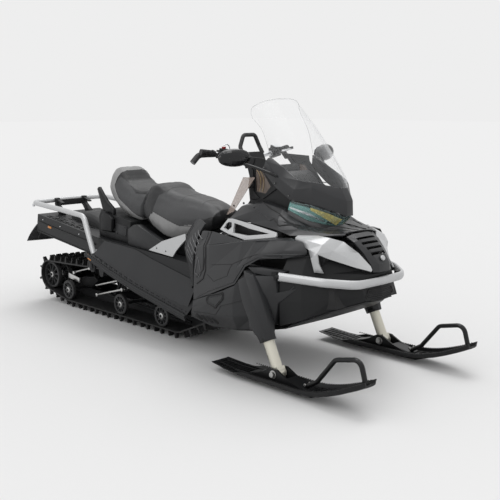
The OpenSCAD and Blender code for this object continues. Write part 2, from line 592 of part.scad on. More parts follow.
module ski(side) translate([0, side * half_stance, 0]) {
    // Running plate with its turned-up edges
    sheet_between([for (x = ski_stations) ski_under(x)], [for (x = ski_stations) ski_over(x)]);
    // Keel
    across(-9, 9) polygon([[-330, 28], [-300, 0], [230, 0], [330, 34], [330, 46], [200, 28]]);
    // Saddle walls that hold the pivot bolt
    mirrored() across(knuckle_w / 2 + saddle_gap, 44)
        polygon([[-190, 30], [-70, 78], [-26, 104], [26, 104], [90, 72], [240, 30]]);
    translate([0, 0, pivot_z]) rotate([90, 0, 0]) cylinder(d = pivot_bolt_d, h = 108, center = true);
}
module ski_right() place() color("#161718") ski(-1);
module ski_left() place() color("#161718") ski(1);
loop_path = bend([[196, 0, 50], [262, 0, 88], [376, 0, 226], [528, 0, 260], [562, 0, 142.9]], 44, 5);
module ski_loop(side) translate([0, side * half_stance, 0]) sweep(loop_path, 12, 15, [0, 1, 0], 14);
module ski_loop_right() place() color("#1a1b1c") ski_loop(-1);
module ski_loop_left() place() color("#1a1b1c") ski_loop(1);

// ---------- track ----------
wheel_seat = clear;
rear_c = [-2541, 195];
sprocket_c = [-706, 294];
sprocket_r = 88;
bogie_xs = [-2296, -1664, -1224];
bogie_z = floor_belt + bogie_d / 2;
rail_nose_r = 110;
track_circles = [[rear_c, rear_wheel_d / 2 + wheel_seat], [[bogie_xs[0], bogie_z], bogie_d / 2 + wheel_seat],
    [[-1072, floor_belt + rail_nose_r], rail_nose_r], [sprocket_c, sprocket_r + wheel_seat]];
// Outer tangent of two circles, walking round the loop with the belt on the right hand
function side_normal(a, b) = let(v = b[0] - a[0], d = norm(v), base = atan2(v[1], v[0]))
    base - acos((a[1] - b[1]) / d);
function loop_points(g) = [for (k = [0:3]) let(a = track_circles[(k + 3) % 4], b = track_circles[k],
    c = track_circles[(k + 1) % 4], t0 = side_normal(a, b), t1r = side_normal(b, c),
    t1 = t1r < t0 ? t1r + 360 : t1r, n = max(3, ceil((t1 - t0) / 9)))
    each [for (i = [0:n]) let(t = lerp(t0, t1, i / n)) b[0] + (b[1] + g) * [cos(t), sin(t)]]];
loop_mid = loop_points(belt_t);
function seg_len(P, i) = norm(P[(i + 1) % len(P)] - P[i]);
function run_len(P, i = 0) = i >= len(P) ? 0 : seg_len(P, i) + run_len(P, i + 1);
loop_len = run_len(loop_mid);
lug_count = floor(loop_len / lug_pitch);
function lug_spot(P, s, i = 0) = let(l = seg_len(P, i), d = unit(P[(i + 1) % len(P)] - P[i]))
    s <= l ? [P[i] + d * s, d] : lug_spot(P, s - l, (i + 1) % len(P));
module lugs(first, step) for (k = [first:step:lug_count - 1]) {
    spot = lug_spot(loop_mid, (k + 0.5) * loop_len / lug_count);
    translate(spot[0]) rotate(atan2(spot[1][1], spot[1][0]))
        polygon([[-15, 1], [-7, -lug_h + 0.2], [7, -lug_h + 0.2], [15, 1]]);
}
module track() place() color("#141516") {
    across(-track_w / 2, track_w / 2) difference() { polygon(loop_mid); polygon(loop_points(0)); }
    across(-track_w / 2 + 2, -track_w / 6 - 6) lugs(0, 2);
    across(track_w / 6 + 6, track_w / 2 - 2) lugs(0, 2);
    across(-track_w / 6 + 6, track_w / 6 - 6) lugs(1, 2);
}

rail_y = 88;
axle_d = 20;
axle_bore_d = axle_d + 1;
module slide_rails() place() color("#202124") {
    for (s = [-1, 1]) across(s * rail_y - 8, s * rail_y + 8) difference() {
        polygon([[-2300, floor_belt + 2], [-1080, floor_belt + 2], [-1020, floor_belt + 16],
            [-980, floor_belt + 34], [-900, floor_belt + 70], [-880, floor_belt + 104],
            [-930, floor_belt + 100], [-1080, bogie_z - 10], [-2420, bogie_z - 10],
            [-2500, 218], [-2566, 218], [-2566, 160], [-2480, 92]]);
        translate(rear_c) circle(d = axle_bore_d);
    }
}
module cross_rod(p, half, d) across(-half, half) translate(p) circle(d = d);
module wheel(p, y, d, w) across(y - w / 2, y + w / 2) translate(p) difference() {
    circle(d = d);
    circle(d = axle_bore_d);
}
module rear_wheels() place() color("#242527") {
    for (s = [-1, 1]) {
        wheel(rear_c, s * (track_w / 2 - 40), rear_wheel_d, 34);
        wheel(rear_c, s * (track_w / 2 - 126), rear_wheel_d, 34);
    }
}
module bogie_wheels() place() color("#242527") for (x = bogie_xs, s = [-1, 1])
    wheel([x, bogie_z], s * (track_w / 2 - 18), bogie_d, 26);
arm_front_top = [-1180, 328];
arm_front_low = [-1010, 130];
arm_rear_top = [-1836, 304];
arm_rear_low = [-1960, 119];
module suspension_arms() place() color("#1a1b1d") {
    cross_rod(rear_c, track_w / 2 - 14, axle_d);
    for (x = bogie_xs) cross_rod([x, bogie_z], track_w / 2 - 2, axle_d);
    for (a = [[arm_front_top, arm_front_low], [arm_rear_top, arm_rear_low]]) {
        cross_rod(a[0], tunnel_half - clear, 30);
        cross_rod(a[1], rail_y - 8 - clear, 26);
        for (s = [-1, 1]) rod([a[0][0], s * 60, a[0][1]], [a[1][0], s * 60, a[1][1]], 26);
    }
    rod([-1100, 0, 236], [-1420, 0, 110], 44);
    rod([-1800, 0, 240], [-1500, 0, 112], 44);
    cross_rod([-1420, 110], rail_y - 8 - clear, 18);
    cross_rod([-1500, 112], rail_y - 8 - clear, 18);
    cross_rod([-1100, 236], 62, 18);
    cross_rod([-1800, 240], 62, 18);
}
module drive_axle() place() color("#2a2b2e") {
    cross_rod(sprocket_c, tunnel_half - clear, 30);
    for (y = [-150, -60, 60, 150]) across(y - 18, y + 18) translate(sprocket_c) circle(r = sprocket_r);
}
module engine_block() place() color("#3a3c40") translate([-545, -230, 290]) cube([455, 440, 210]);

// ---------- steering ----------
module on_column() translate(column_foot) rotate([0, -column_lean, 0]) children();
module steering_post() place() color("#1c1d1f") {
    on_column() difference() {
        union() {
            cylinder(d = post_d, h = column_len);
            translate([-38, -62, column_len - 50]) cube([60, 124, 78]);
        }
        // Seat of the bar in the clamp
        translate([-9.1, 0, 652]) rotate([90, 0, 0]) cylinder(d = bar_d + 2 * clear, h = 130, center = true);
    }
}
// Half of the bar from its centre out to the right grip's end
bar_a = [-656, -130, 1148];
bar_b = [-684, -262, 1165];
bar_half = bend([[-646, 0, 1142], [-646, -72, 1142], bar_a, bar_b, [-732, 46 - bar_half_w, 1160],
    [-736, 2 - bar_half_w, 1118]], 40, 5);
bar_path = concat([for (k = [len(bar_half) - 1:-1:1]) bar_half[k]], [for (p = bar_half) flip(p)]);
loop_seat_z = 1146.2 + bar_d / 2;
module handlebar() place() color("#b8babc") tube(bar_path, bar_d, 16);
// Sleeve with a free bore on the outer part of the bar
module pipe(P, d_in, d_out, up = [0.1, 0.2, 1], sides = 16) {
    T = tangents(P);
    first = unit(up - T[0] * (up * T[0]));
    n = len(P);
    ring = [for (i = [0:n - 1]) let(b = carried(T, first, i), a = cross(T[i], b))
        [for (k = [0:sides - 1]) a * sin(360 * k / sides) + b * cos(360 * k / sides)]];
    pts = [for (d = [d_out, d_in]) for (i = [0:n - 1]) for (v = ring[i]) P[i] + v * d / 2];
    wall = [for (e = [0, 1]) for (i = [0:n - 2]) for (k = [0:sides - 1])
        let(o = e * n * sides, a = o + i * sides + k, b = o + i * sides + (k + 1) % sides,
            c = b + sides, d = a + sides)
        each (e == 0 ? [[a, c, b], [a, d, c]] : [[a, b, c], [a, c, d]])];
    rims = [for (e = [0, 1]) for (k = [0:sides - 1])
        let(i = e * (n - 1) * sides, a = i + k, b = i + (k + 1) % sides, c = b + n * sides,
            d = a + n * sides)
        each (e == 0 ? [[a, b, c], [a, c, d]] : [[a, c, b], [a, d, c]])];
    polyhedron(points = pts, faces = concat(wall, rims), convexity = 6);
}
grip_path = [for (p = bar_half) if (p[1] < -260) p];
module hand_grips() place() color("#1a1b1c") mirrored() pipe(grip_path, bar_d + 2 * clear, grip_d);
// Children in bar axes: origin on the centre line at distance s outboard of the inner bend, +Z outboard
module on_bar(s) {
    v = unit(bar_b - bar_a);
    translate(bar_a + v * s) rotate([0, acos(v[2]), atan2(v[1], v[0])]) children();
}
module bar_block(w, d, h) difference() {
    translate([-w / 2, -d / 2, 0]) cube([w, d, h]);
    translate([0, 0, -1]) cylinder(d = bar_d + 2 * clear, h = h + 2);
}
module throttle_block() place() color("#1b1c1d") {
    on_bar(74) bar_block(48, 44, 44);
    on_bar(100) translate([-6, 21.8, 2]) cube([12, 14, 96]);
}
module brake_block() place() color("#242527") mirror([0, 1, 0]) {
    on_bar(58) bar_block(52, 48, 60);
    on_bar(96) translate([-7, 23.8, 2]) cube([14, 12.2, 150]);
}
module grab_loop() place() color("#1a1b1c") tube(bend([[-649, -84, loop_seat_z], [-672, -78, 1200],
    [-678, -46, 1266], [-678, 46, 1266], [-672, 78, 1200], [-649, 84, loop_seat_z]], 26, 5), 24, 14);

tunnel();
running_boards();
rear_rack();
tail_light();
snow_flap();
tow_hitch();
cargo_cover();
driver_seat();
passenger_seat();
grab_handles();
seat_box();
seat_wedges();
brace_plates();
side_panel_right();
side_panel_left();
lower_panel_right();
lower_panel_left();
knee_pads();
vent_trims();
hood();
nose_grille();
nose_fairings();
headlight_housing();
headlight_lens();
windshield();
windshield_fairing();
console();
wind_deflectors();
mirrors();
belly_pan();
bumper();
bumper_carriers();
strut_towers();
track();
slide_rails();
suspension_arms();
rear_wheels();
bogie_wheels();
drive_axle();
front_frame();
engine_block();
steering_post();
handlebar();
hand_grips();
throttle_block();
brake_block();
grab_loop();
leg_right();
leg_left();
ski_right();
ski_left();
ski_loop_right();
ski_loop_left();
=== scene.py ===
# %% [markdown]
# # A two-seat utility snowmobile
# The machine comes from CAD as a frame of plain solids, in metres, with +X towards the ski tips and +Z up. This
# lesson dresses that frame: it softens the moulded panels, builds the small parts a maker would bolt on, and
# gives every piece a procedural finish. Nothing is moved; each piece says which body it rides on.

# %% Load the frame and keep its box
import bpy, bmesh, json, math
from mathutils import Vector, Matrix, Euler
from mathutils.bvhtree import BVHTree

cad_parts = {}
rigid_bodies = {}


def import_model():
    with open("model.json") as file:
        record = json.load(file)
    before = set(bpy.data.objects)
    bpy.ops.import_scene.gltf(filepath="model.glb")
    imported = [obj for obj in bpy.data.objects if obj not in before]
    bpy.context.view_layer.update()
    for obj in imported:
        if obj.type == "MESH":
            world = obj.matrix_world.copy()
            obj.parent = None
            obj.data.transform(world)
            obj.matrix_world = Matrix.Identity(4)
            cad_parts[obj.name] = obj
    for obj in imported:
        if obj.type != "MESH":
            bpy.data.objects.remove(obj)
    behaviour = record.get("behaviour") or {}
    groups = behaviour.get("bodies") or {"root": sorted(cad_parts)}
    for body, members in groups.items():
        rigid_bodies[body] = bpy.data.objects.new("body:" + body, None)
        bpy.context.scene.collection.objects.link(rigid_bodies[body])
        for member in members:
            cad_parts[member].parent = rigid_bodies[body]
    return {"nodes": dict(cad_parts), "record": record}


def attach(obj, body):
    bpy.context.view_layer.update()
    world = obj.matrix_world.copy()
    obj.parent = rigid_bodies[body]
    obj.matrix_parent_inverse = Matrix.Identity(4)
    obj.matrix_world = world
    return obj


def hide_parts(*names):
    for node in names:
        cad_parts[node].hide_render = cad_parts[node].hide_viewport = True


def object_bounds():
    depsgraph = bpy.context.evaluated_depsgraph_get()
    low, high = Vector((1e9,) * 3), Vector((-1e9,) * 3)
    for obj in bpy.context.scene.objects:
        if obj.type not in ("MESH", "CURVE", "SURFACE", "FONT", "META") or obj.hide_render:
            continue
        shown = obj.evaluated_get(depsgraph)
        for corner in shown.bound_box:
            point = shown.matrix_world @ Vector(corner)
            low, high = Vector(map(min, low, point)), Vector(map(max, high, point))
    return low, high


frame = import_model()
cad_low, cad_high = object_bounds()
nodes = frame["nodes"]
print("box of the CAD model", [round(v, 3) for v in cad_low], [round(v, 3) for v in cad_high])

# %% [markdown]
# ## Places along the machine
# Drawings of a sled are dimensioned from one easily found point, the ski pivot bolt. The frame's own origin lies
# under the middle of the box, so one helper turns a drawing station in millimetres into a point of the frame.

# %% Station helper
pivot_station = 1.061

def at(x, y, z):
    """Point of the frame for a station in millimetres from the ski pivot line."""
    return Vector((x / 1000 + pivot_station, y / 1000, z / 1000))

def flipped(p):
    """The same point on the other side of the machine."""
    return Vector((p[0], -p[1], p[2]))

# %% [markdown]
# ## Shader maths
# A finish is easiest to read as sums. This small class wraps a socket, so that an expression such as `1 - mask *
# 0.4` adds the Math nodes itself. Colours go through Mix and Vector Math, because a Math node would turn them
# grey.

# %% Sockets that know arithmetic
class Wire:
    """One output socket of a finish."""
    def __init__(self, finish, socket):
        self.finish, self.socket = finish, socket
    def math(self, operation, *values, clamp=False):
        return self.finish.node("ShaderNodeMath", {"operation": operation, "use_clamp": clamp},
            dict(enumerate(values)))
    def __add__(self, other): return self.math("ADD", self, other)
    def __radd__(self, other): return self.math("ADD", other, self)
    def __sub__(self, other): return self.math("SUBTRACT", self, other)
    def __rsub__(self, other): return self.math("SUBTRACT", other, self)
    def __mul__(self, other): return self.math("MULTIPLY", self, other)
    def __rmul__(self, other): return self.math("MULTIPLY", other, self)
    def __truediv__(self, other): return self.math("DIVIDE", self, other)
    def __pow__(self, other): return self.math("POWER", self, other)
    def above(self, edge, soft):
        """Rises from 0 to 1 over a band as wide as soft, centred on the edge."""
        return self.math("ADD", (self - edge) / soft, 0.5, clamp=True)

class Finish:
    """A material built from one Principled shader and the nodes that feed it."""
    def __init__(self, name, colour, roughness=0.5, metallic=0.0, **more):
        self.material = bpy.data.materials.new(name)
        self.material.use_nodes = True
        self.tree = self.material.node_tree
        self.shader = self.tree.nodes["Principled BSDF"]
        self.set("Base Color", (*colour, 1.0))
        self.set("Roughness", roughness)
        self.set("Metallic", metallic)
        for key, value in more.items():
            self.set(key.replace("_", " ").title().replace("Ior", "IOR"), value)
        self.material.diffuse_color = (*colour, 1.0)
    def set(self, key, value):
        """Sets or links an input of the shader."""
        if isinstance(value, Wire):
            self.tree.links.new(value.socket, self.shader.inputs[key])
        else:
            self.shader.inputs[key].default_value = value
    def node(self, kind, settings=None, inputs=None, out=0):
        """Adds one node: its settings first, then the values or links of its sockets."""
        made = self.tree.nodes.new(kind)
        for key, value in (settings or {}).items():
            if key == "stops":
                ramp = made.color_ramp.elements
                while len(ramp) < len(value):
                    ramp.new(0.5)
                for element, (place, colour) in zip(ramp, value):
                    element.position, element.color = place, (*colour, 1.0)
            else:
                setattr(made, key, value)
        for key, value in (inputs or {}).items():
            if isinstance(value, Wire):
                self.tree.links.new(value.socket, made.inputs[key])
            else:
                made.inputs[key].default_value = value
        return Wire(self, made.outputs[out])
    def spot(self):
        """Object coordinates, which here are the frame's own metres."""
        return self.node("ShaderNodeTexCoord", out="Object")
    def cloud(self, scale, detail=2.0, rough=0.5):
        return self.node("ShaderNodeTexNoise", None, {"Vector": self.spot(), "Scale": scale, "Detail": detail,
            "Roughness": rough}, "Fac")
    def cells(self, scale, feature="F1"):
        return self.node("ShaderNodeTexVoronoi", {"feature": feature}, {"Vector": self.spot(), "Scale": scale},
            "Distance")
    def mix(self, mask, first, second):
        """Colour that is first where mask is 0 and second where it is 1."""
        colour = [c if isinstance(c, Wire) else (*c, 1.0) for c in (first, second)]
        return self.node("ShaderNodeMix", {"data_type": "RGBA"}, {0: mask, 6: colour[0], 7: colour[1]}, 2)
    def bump(self, height, strength=0.3, distance=0.001):
        self.set("Normal", self.node("ShaderNodeBump", None,
            {"Height": height, "Strength": strength, "Distance": distance}, "Normal"))

def shade(colour, factor):
    """A colour made lighter or darker."""
    return tuple(min(1.0, c * factor) for c in colour)

# %% [markdown]
# ## Moulded plastic and painted parts
# Body panels are moulded in grained plastic: an even dark colour, a fine pebble grain that breaks the gloss, and
# a faint cloudiness from handling. Painted and coated metal gets flakes or orange peel at its own scale instead.

# %% Finishes for hard parts
def moulded(name, colour, roughness=0.42, grain=900.0, depth=0.25, **more):
    """Grained plastic with handling marks."""
    f = Finish(name, colour, roughness, **more)
    cloud = f.cloud(7.0, 4.0)
    f.set("Base Color", f.mix(cloud, shade(colour, 0.86), shade(colour, 1.16)))
    f.set("Roughness", roughness - 0.06 + f.cloud(26.0, 5.0, 0.65) * 0.14)
    f.bump(f.cells(grain) + f.cloud(grain * 0.4) * 0.6, depth, 0.0004)
    return f.material

def metallic_coat(name, colour, roughness=0.3, metallic=0.75, **more):
    """Paint or anodising with fine flakes and a soft orange peel."""
    f = Finish(name, colour, roughness, metallic, **more)
    flake = f.cells(2600.0)
    f.set("Base Color", f.mix(flake, shade(colour, 0.9), shade(colour, 1.1)))
    f.set("Roughness", roughness + f.cloud(40.0, 4.0) * 0.12 - 0.04)
    f.bump(f.cloud(320.0, 2.0), 0.08, 0.0006)
    return f.material

def brushed(name, colour, roughness=0.35, along=(1.0, 60.0, 60.0)):
    """Bare metal whose scratches run along one axis."""
    f = Finish(name, colour, roughness, 1.0)
    lines = f.node("ShaderNodeTexNoise", None,
        {"Vector": f.node("ShaderNodeMapping", None, {"Vector": f.spot(), "Scale": along}), "Scale": 30.0,
        "Detail": 4.0}, "Fac")
    f.set("Roughness", roughness - 0.08 + lines * 0.2)
    f.set("Base Color", f.mix(lines, shade(colour, 0.88), shade(colour, 1.08)))
    f.bump(lines, 0.1, 0.0003)
    return f.material

charcoal = moulded("charcoal_panel", (0.0185, 0.019, 0.0205), 0.34, 700.0, 0.12, specular_ior_level=0.4)
charcoal_low = moulded("charcoal_lower", (0.016, 0.0165, 0.0178), 0.42, 600.0, 0.2, specular_ior_level=0.34)
black_plastic = moulded("black_plastic", (0.0085, 0.0088, 0.0095), 0.46, 800.0, 0.3, specular_ior_level=0.26)
black_gloss = moulded("black_gloss", (0.006, 0.0062, 0.0068), 0.2, 500.0, 0.05, specular_ior_level=0.4)
# Deep black is the colour of real dark joints and bars. It is also painted shade in the track windows, the panel slots
# and the blocks inside the bonnet.
deep_black = moulded("deep_black", (0.006, 0.006, 0.0065), 0.7, 900.0, 0.2)
dark_coat = metallic_coat("dark_coating", (0.015, 0.0155, 0.0165), 0.42, 0.2, specular_ior_level=0.3)
silver_paint = metallic_coat("silver_paint", (0.47, 0.475, 0.48), 0.36, 0.4)
silver_trim = metallic_coat("silver_trim", (0.43, 0.435, 0.44), 0.3, 0.3)
champagne = metallic_coat("champagne_tube", (0.60, 0.58, 0.50), 0.3, 0.6)
bare_alloy = brushed("bare_alloy", (0.62, 0.63, 0.64), 0.32)
steel = brushed("zinc_steel", (0.55, 0.55, 0.54), 0.3, (60.0, 1.0, 60.0))
print("hard finishes ready")

# %% [markdown]
# ## Rubber
# Track rubber is nearly black and dull, with a dusty bloom on top of the lugs. Grips and the flap are the same
# rubber with a finer surface.

# %% Rubber finishes
def rubber(name, colour, roughness, scale):
    f = Finish(name, colour, roughness)
    dust = f.cloud(18.0, 6.0, 0.7)
    f.set("Base Color", f.mix(dust.above(0.56, 0.2), colour, shade(colour, 1.9)))
    f.set("Roughness", roughness + dust * 0.12)
    f.bump(f.cloud(scale, 5.0, 0.7), 0.35, 0.0006)
    return f.material

track_rubber = rubber("track_rubber", (0.006, 0.006, 0.0063), 0.5, 420.0)
grip_rubber = rubber("grip_rubber", (0.012, 0.012, 0.0125), 0.55, 900.0)
flap_rubber = rubber("flap_rubber", (0.024, 0.0245, 0.026), 0.5, 500.0)
ski_plastic = moulded("ski_plastic", (0.0065, 0.0067, 0.0072), 0.36, 420.0, 0.3, specular_ior_level=0.3)

# %% [markdown]
# ## Clear and tinted plastic
# Sheet polycarbonate is a few millimetres thick and shows mostly by its edges and by the sky it reflects. Layer
# Weight raises the opacity where the sheet is seen edge on.

# %% Clear finishes
def clear_sheet(name, colour, face, edge, roughness=0.06):
    f = Finish(name, colour, roughness)
    slant = f.node("ShaderNodeLayerWeight", None, {"Blend": 0.45}, "Facing")
    f.set("Alpha", face + (slant ** 3.0) * (edge - face))
    f.set("Roughness", roughness + f.cloud(60.0, 3.0) * 0.03)
    return f.material

clear_shield = clear_sheet("clear_shield", (0.62, 0.63, 0.64), 0.045, 0.5)
smoked_sheet = clear_sheet("smoked_sheet", (0.30, 0.24, 0.21), 0.52, 0.85)
lamp_cover = clear_sheet("lamp_cover", (0.36, 0.52, 0.50), 0.10, 0.5, 0.03)

# %% [markdown]
# ## Softened copies of CAD solids
# A CAD node is a pile of loose triangles with knife edges. Real mouldings have a small radius on every edge, and
# that radius is what catches the light. The copy is merged first, flat neighbours are joined, then folds are
# bevelled wide and rims are bevelled narrow.

# %% Helpers that make and register a piece
def finish_mesh(bm, angle=32.0):
    """Smooth faces with a crease wherever two faces meet at more than the angle."""
    limit = math.radians(angle)
    for face in bm.faces:
        face.smooth = True
    for edge in bm.edges:
        edge.smooth = not (len(edge.link_faces) == 2 and edge.calc_face_angle(0) > limit)

def placed(name, data):
    """A new object in the scene that carries the data."""
    made = bpy.data.objects.new(name, data)
    bpy.context.scene.collection.objects.link(made)
    return made

def piece(name, bm, material, body="chassis", stands_for=(), angle=32.0):
    """Turns a bmesh into a named piece that rides on a body."""
    finish_mesh(bm, angle)
    mesh = bpy.data.meshes.new(name)
    bm.to_mesh(mesh)
    bm.free()
    made = placed(name, mesh)
    for m in (material if isinstance(material, (list, tuple)) else [material]):
        mesh.materials.append(m)
    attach(made, body)
    if stands_for:
        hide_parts(*stands_for)
    return made

def copy_of(node):
    """The node's solid as one merged bmesh, flat neighbours joined."""
    bm = bmesh.new()
    bm.from_mesh(nodes[node].data)
    bmesh.ops.remove_doubles(bm, verts=bm.verts, dist=2e-5)
    bmesh.ops.dissolve_limit(bm, angle_limit=math.radians(0.8), verts=bm.verts, edges=bm.edges)
    return bm

def soften(bm, fold=0.005, rim=0.0016, segments=2):
    """Bevels gentle folds wide and sharp rims narrow."""
    for low, high, offset, cuts in ((4, 48, fold, segments + 1), (48, 181, rim, segments)):
        if offset <= 0:
            continue
        edges = [e for e in bm.edges if len(e.link_faces) == 2 and low < math.degrees(e.calc_face_angle(0)) <= high]
        if edges:
            bmesh.ops.bevel(bm, geom=edges, offset=offset, segments=cuts, profile=0.5, affect="EDGES",
                clamp_overlap=True, material=-1)
    bmesh.ops.remove_doubles(bm, verts=bm.verts, dist=1e-5)
    return bm

bodies_of = {n: b for b, members in frame["record"]["behaviour"]["bodies"].items() for n in members}

dash_half, dash_above = 0.1779, 1.1
dash_forward, dash_level = 0.045, 1.058

def lower_dash(bm):
    """Lets the dash plate down between the console's side frames, which leaves room for the instrument pod."""
    for v in bm.verts:
        if abs(v.co.y) < dash_half and v.co.z > dash_above:
            v.co.x, v.co.z = v.co.x + dash_forward, dash_level

def softened(node, material, fold, rim):
    """A rounded copy that stands for its CAD node."""
    bm = copy_of(node)
    if node == "console":
        lower_dash(bm)
    soften(bm, fold, rim)
    return piece(node + "_shell", bm, material, bodies_of[node], (node,), 40.0)

# %% First coat on everything
coats = {
    "tunnel": dark_coat, "running_boards": dark_coat, "rear_rack": silver_paint, "tail_light": black_plastic,
    "snow_flap": flap_rubber, "tow_hitch": dark_coat, "cargo_cover": black_plastic, "grab_handles": black_plastic,
    "seat_box": black_plastic, "seat_wedges": charcoal_low, "brace_plates": silver_paint,
    "side_panel_right": charcoal, "side_panel_left": charcoal, "lower_panel_right": charcoal_low,
    "lower_panel_left": charcoal_low, "knee_pads": charcoal_low, "vent_trims": silver_trim, "hood": charcoal,
    "nose_grille": charcoal, "nose_fairings": silver_trim, "headlight_housing": black_gloss,
    "headlight_lens": lamp_cover, "windshield": clear_shield, "windshield_fairing": charcoal, "console": black_plastic,
    "wind_deflectors": smoked_sheet, "mirrors": black_gloss, "belly_pan": black_plastic, "bumper": silver_paint,
    "bumper_carriers": black_plastic, "strut_towers": charcoal_low, "track": track_rubber, "slide_rails": dark_coat,
    "suspension_arms": dark_coat, "rear_wheels": black_plastic, "bogie_wheels": black_plastic,
    "drive_axle": dark_coat, "front_frame": dark_coat, "engine_block": dark_coat, "steering_post": black_plastic,
    "handlebar": bare_alloy, "hand_grips": grip_rubber, "throttle_block": black_plastic, "brake_block": black_plastic,
    "grab_loop": grip_rubber, "leg_right": champagne, "leg_left": champagne, "ski_right": ski_plastic,
    "ski_left": ski_plastic, "ski_loop_right": ski_plastic, "ski_loop_left": ski_plastic,
    "driver_seat": black_plastic, "passenger_seat": black_plastic,
}
for node, coat in coats.items():
    mesh = nodes[node].data
    mesh.materials.clear()
    mesh.materials.append(coat)
print(len(coats), "nodes coated")

# %% Rounded copies of the mouldings
fold_and_rim = {
    "side_panel_right": (0.007, 0.0015), "side_panel_left": (0.007, 0.0015), "lower_panel_right": (0.006, 0.0015),
    "lower_panel_left": (0.006, 0.0015), "hood": (0.006, 0.0015), "nose_grille": (0.005, 0.0015),
    "nose_fairings": (0.006, 0.002), "vent_trims": (0.004, 0.003), "windshield_fairing": (0.007, 0.0018),
    "bumper_carriers": (0.006, 0.0018), "belly_pan": (0.006, 0.0015),
    "seat_box": (0.004, 0.005), "seat_wedges": (0.004, 0.006), "grab_handles": (0.004, 0.005),
    "tail_light": (0.002, 0.003), "console": (0.002, 0.0015), "throttle_block": (0.003, 0.004),
    "brake_block": (0.003, 0.004), "cargo_cover": (0.006, 0.003), "tow_hitch": (0.001, 0.001),
}
for node, (fold, rim) in fold_and_rim.items():
    made = softened(node, coats[node], fold, rim)
    print(made.name, len(made.data.polygons))

# %% [markdown]
# ## Tools for the small parts
# Brackets, rods, hoses and beads are the same few moves over and over: a bevelled block, a round bar between two
# points, a tube along a soft path, an outline made thick, and a profile spun about an axle. Each helper adds its
# solid to a bmesh, so like parts share one piece.

# %% Small solids
def block(bm, centre, size, turn=(0, 0, 0), taper=1.0):
    """Box with its top scaled by taper."""
    place = Matrix.Translation(centre) @ Euler([math.radians(a) for a in turn]).to_matrix().to_4x4()
    made = bmesh.ops.create_cube(bm, size=1, matrix=Matrix.Diagonal((*[s / 1000 for s in size], 1)))["verts"]
    for v in made:
        if v.co.z > 0:
            v.co.x, v.co.y = v.co.x * taper, v.co.y * (0.5 + taper / 2)
    bmesh.ops.transform(bm, matrix=place, verts=made)

def rod(bm, a, b, r, sides=16, r2=None):
    """Round bar between two points, radius in millimetres."""
    way = b - a
    place = Matrix.Translation((a + b) / 2) @ way.to_track_quat("Z", "Y").to_matrix().to_4x4()
    bmesh.ops.create_cone(bm, cap_ends=True, segments=sides, radius1=r / 1000,
        radius2=(r if r2 is None else r2) / 1000,
                          depth=way.length, matrix=place)

def hose(bm, points, r, closed=False, sides=3, steps=6):
    """Tube along a smooth path through the points."""
    curve = bpy.data.curves.new("path", "CURVE")
    curve.dimensions = "3D"
    line = curve.splines.new("BEZIER")
    line.bezier_points.add(len(points) - 1)
    for spot, p in zip(line.bezier_points, points):
        spot.co = p
        spot.handle_left_type = spot.handle_right_type = "AUTO"
    line.use_cyclic_u = closed
    curve.bevel_depth, curve.bevel_resolution, curve.resolution_u, curve.use_fill_caps = r / 1000, sides, steps, True
    carrier = bpy.data.objects.new("path", curve)
    bm.from_mesh(bpy.data.meshes.new_from_object(carrier))
    bpy.data.objects.remove(carrier)
    bpy.data.curves.remove(curve)

def plate(bm, outline, way):
    """Flat outline pushed along a vector into a solid."""
    face = bm.faces.new([bm.verts.new(p) for p in outline])
    pushed = bmesh.ops.extrude_face_region(bm, geom=[face])["geom"]
    bmesh.ops.translate(bm, vec=way, verts=[g for g in pushed if isinstance(g, bmesh.types.BMVert)])
    bmesh.ops.recalc_face_normals(bm, faces=bm.faces)

def ribbon(bm, first, second, thick):
    """Sheet between two rails, made thick."""
    rails = []
    for points in (first, second):
        dots = [bm.verts.new(p) for p in points]
        rails += [bm.edges.new((a, b)) for a, b in zip(dots, dots[1:])]
    made = bmesh.ops.bridge_loops(bm, edges=rails)["faces"]
    bmesh.ops.solidify(bm, geom=made, thickness=thick / 1000)

def spun(bm, centre, outline, steps=40):
    """Outline of (offset along the axle, radius) pairs spun about an axle along Y."""
    dots = [bm.verts.new(centre + Vector((0, o / 1000, r / 1000))) for o, r in outline]
    ring = [bm.edges.new((dots[k], dots[(k + 1) % len(dots)])) for k in range(len(dots))]
    bmesh.ops.spin(bm, geom=dots + ring, cent=centre, axis=(0, 1, 0), angle=math.tau, steps=steps, use_merge=True)

def tidy(bm, offset=0.0, segments=2):
    """Merges doubles, turns faces outward and takes the edges off."""
    bmesh.ops.remove_doubles(bm, verts=bm.verts, dist=1e-6)
    bmesh.ops.recalc_face_normals(bm, faces=bm.faces)
    if offset:
        sharp = [e for e in bm.edges if len(e.link_faces) == 2 and e.calc_face_angle(0) > math.radians(40)]
        bmesh.ops.bevel(bm, geom=sharp, offset=offset / 1000, segments=segments, profile=0.5, affect="EDGES",
                        clamp_overlap=True, material=-1)
    return bm

def both_sides(bm):
    """Adds the mirrored other side."""
    copied = bmesh.ops.duplicate(bm, geom=bm.verts[:] + bm.edges[:] + bm.faces[:])["geom"]
    bmesh.ops.scale(bm, vec=(1, -1, 1), verts=[g for g in copied if isinstance(g, bmesh.types.BMVert)])
    bmesh.ops.reverse_faces(bm, faces=[g for g in copied if isinstance(g, bmesh.types.BMFace)])
    return bm

def skin(*names):
    """Search tree over finished pieces or CAD nodes, for laying details on their surface."""
    bm = bmesh.new()
    for name in names:
        bm.from_mesh(bpy.data.objects[name].data if name in bpy.data.objects else nodes[name].data)
    tree = BVHTree.FromBMesh(bm)
    bm.free()
    return tree

def on_side(tree, x, z, lift=0.0, reach=700):
    """Point of the right flank straight in from the side, lifted off it."""
    spot, normal, _, _ = tree.ray_cast(at(x, -reach, z), Vector((0, 1, 0)))
    if spot is None:
        return None
    return spot + normal * (lift / 1000) * (1 if normal.y < 0 else -1)

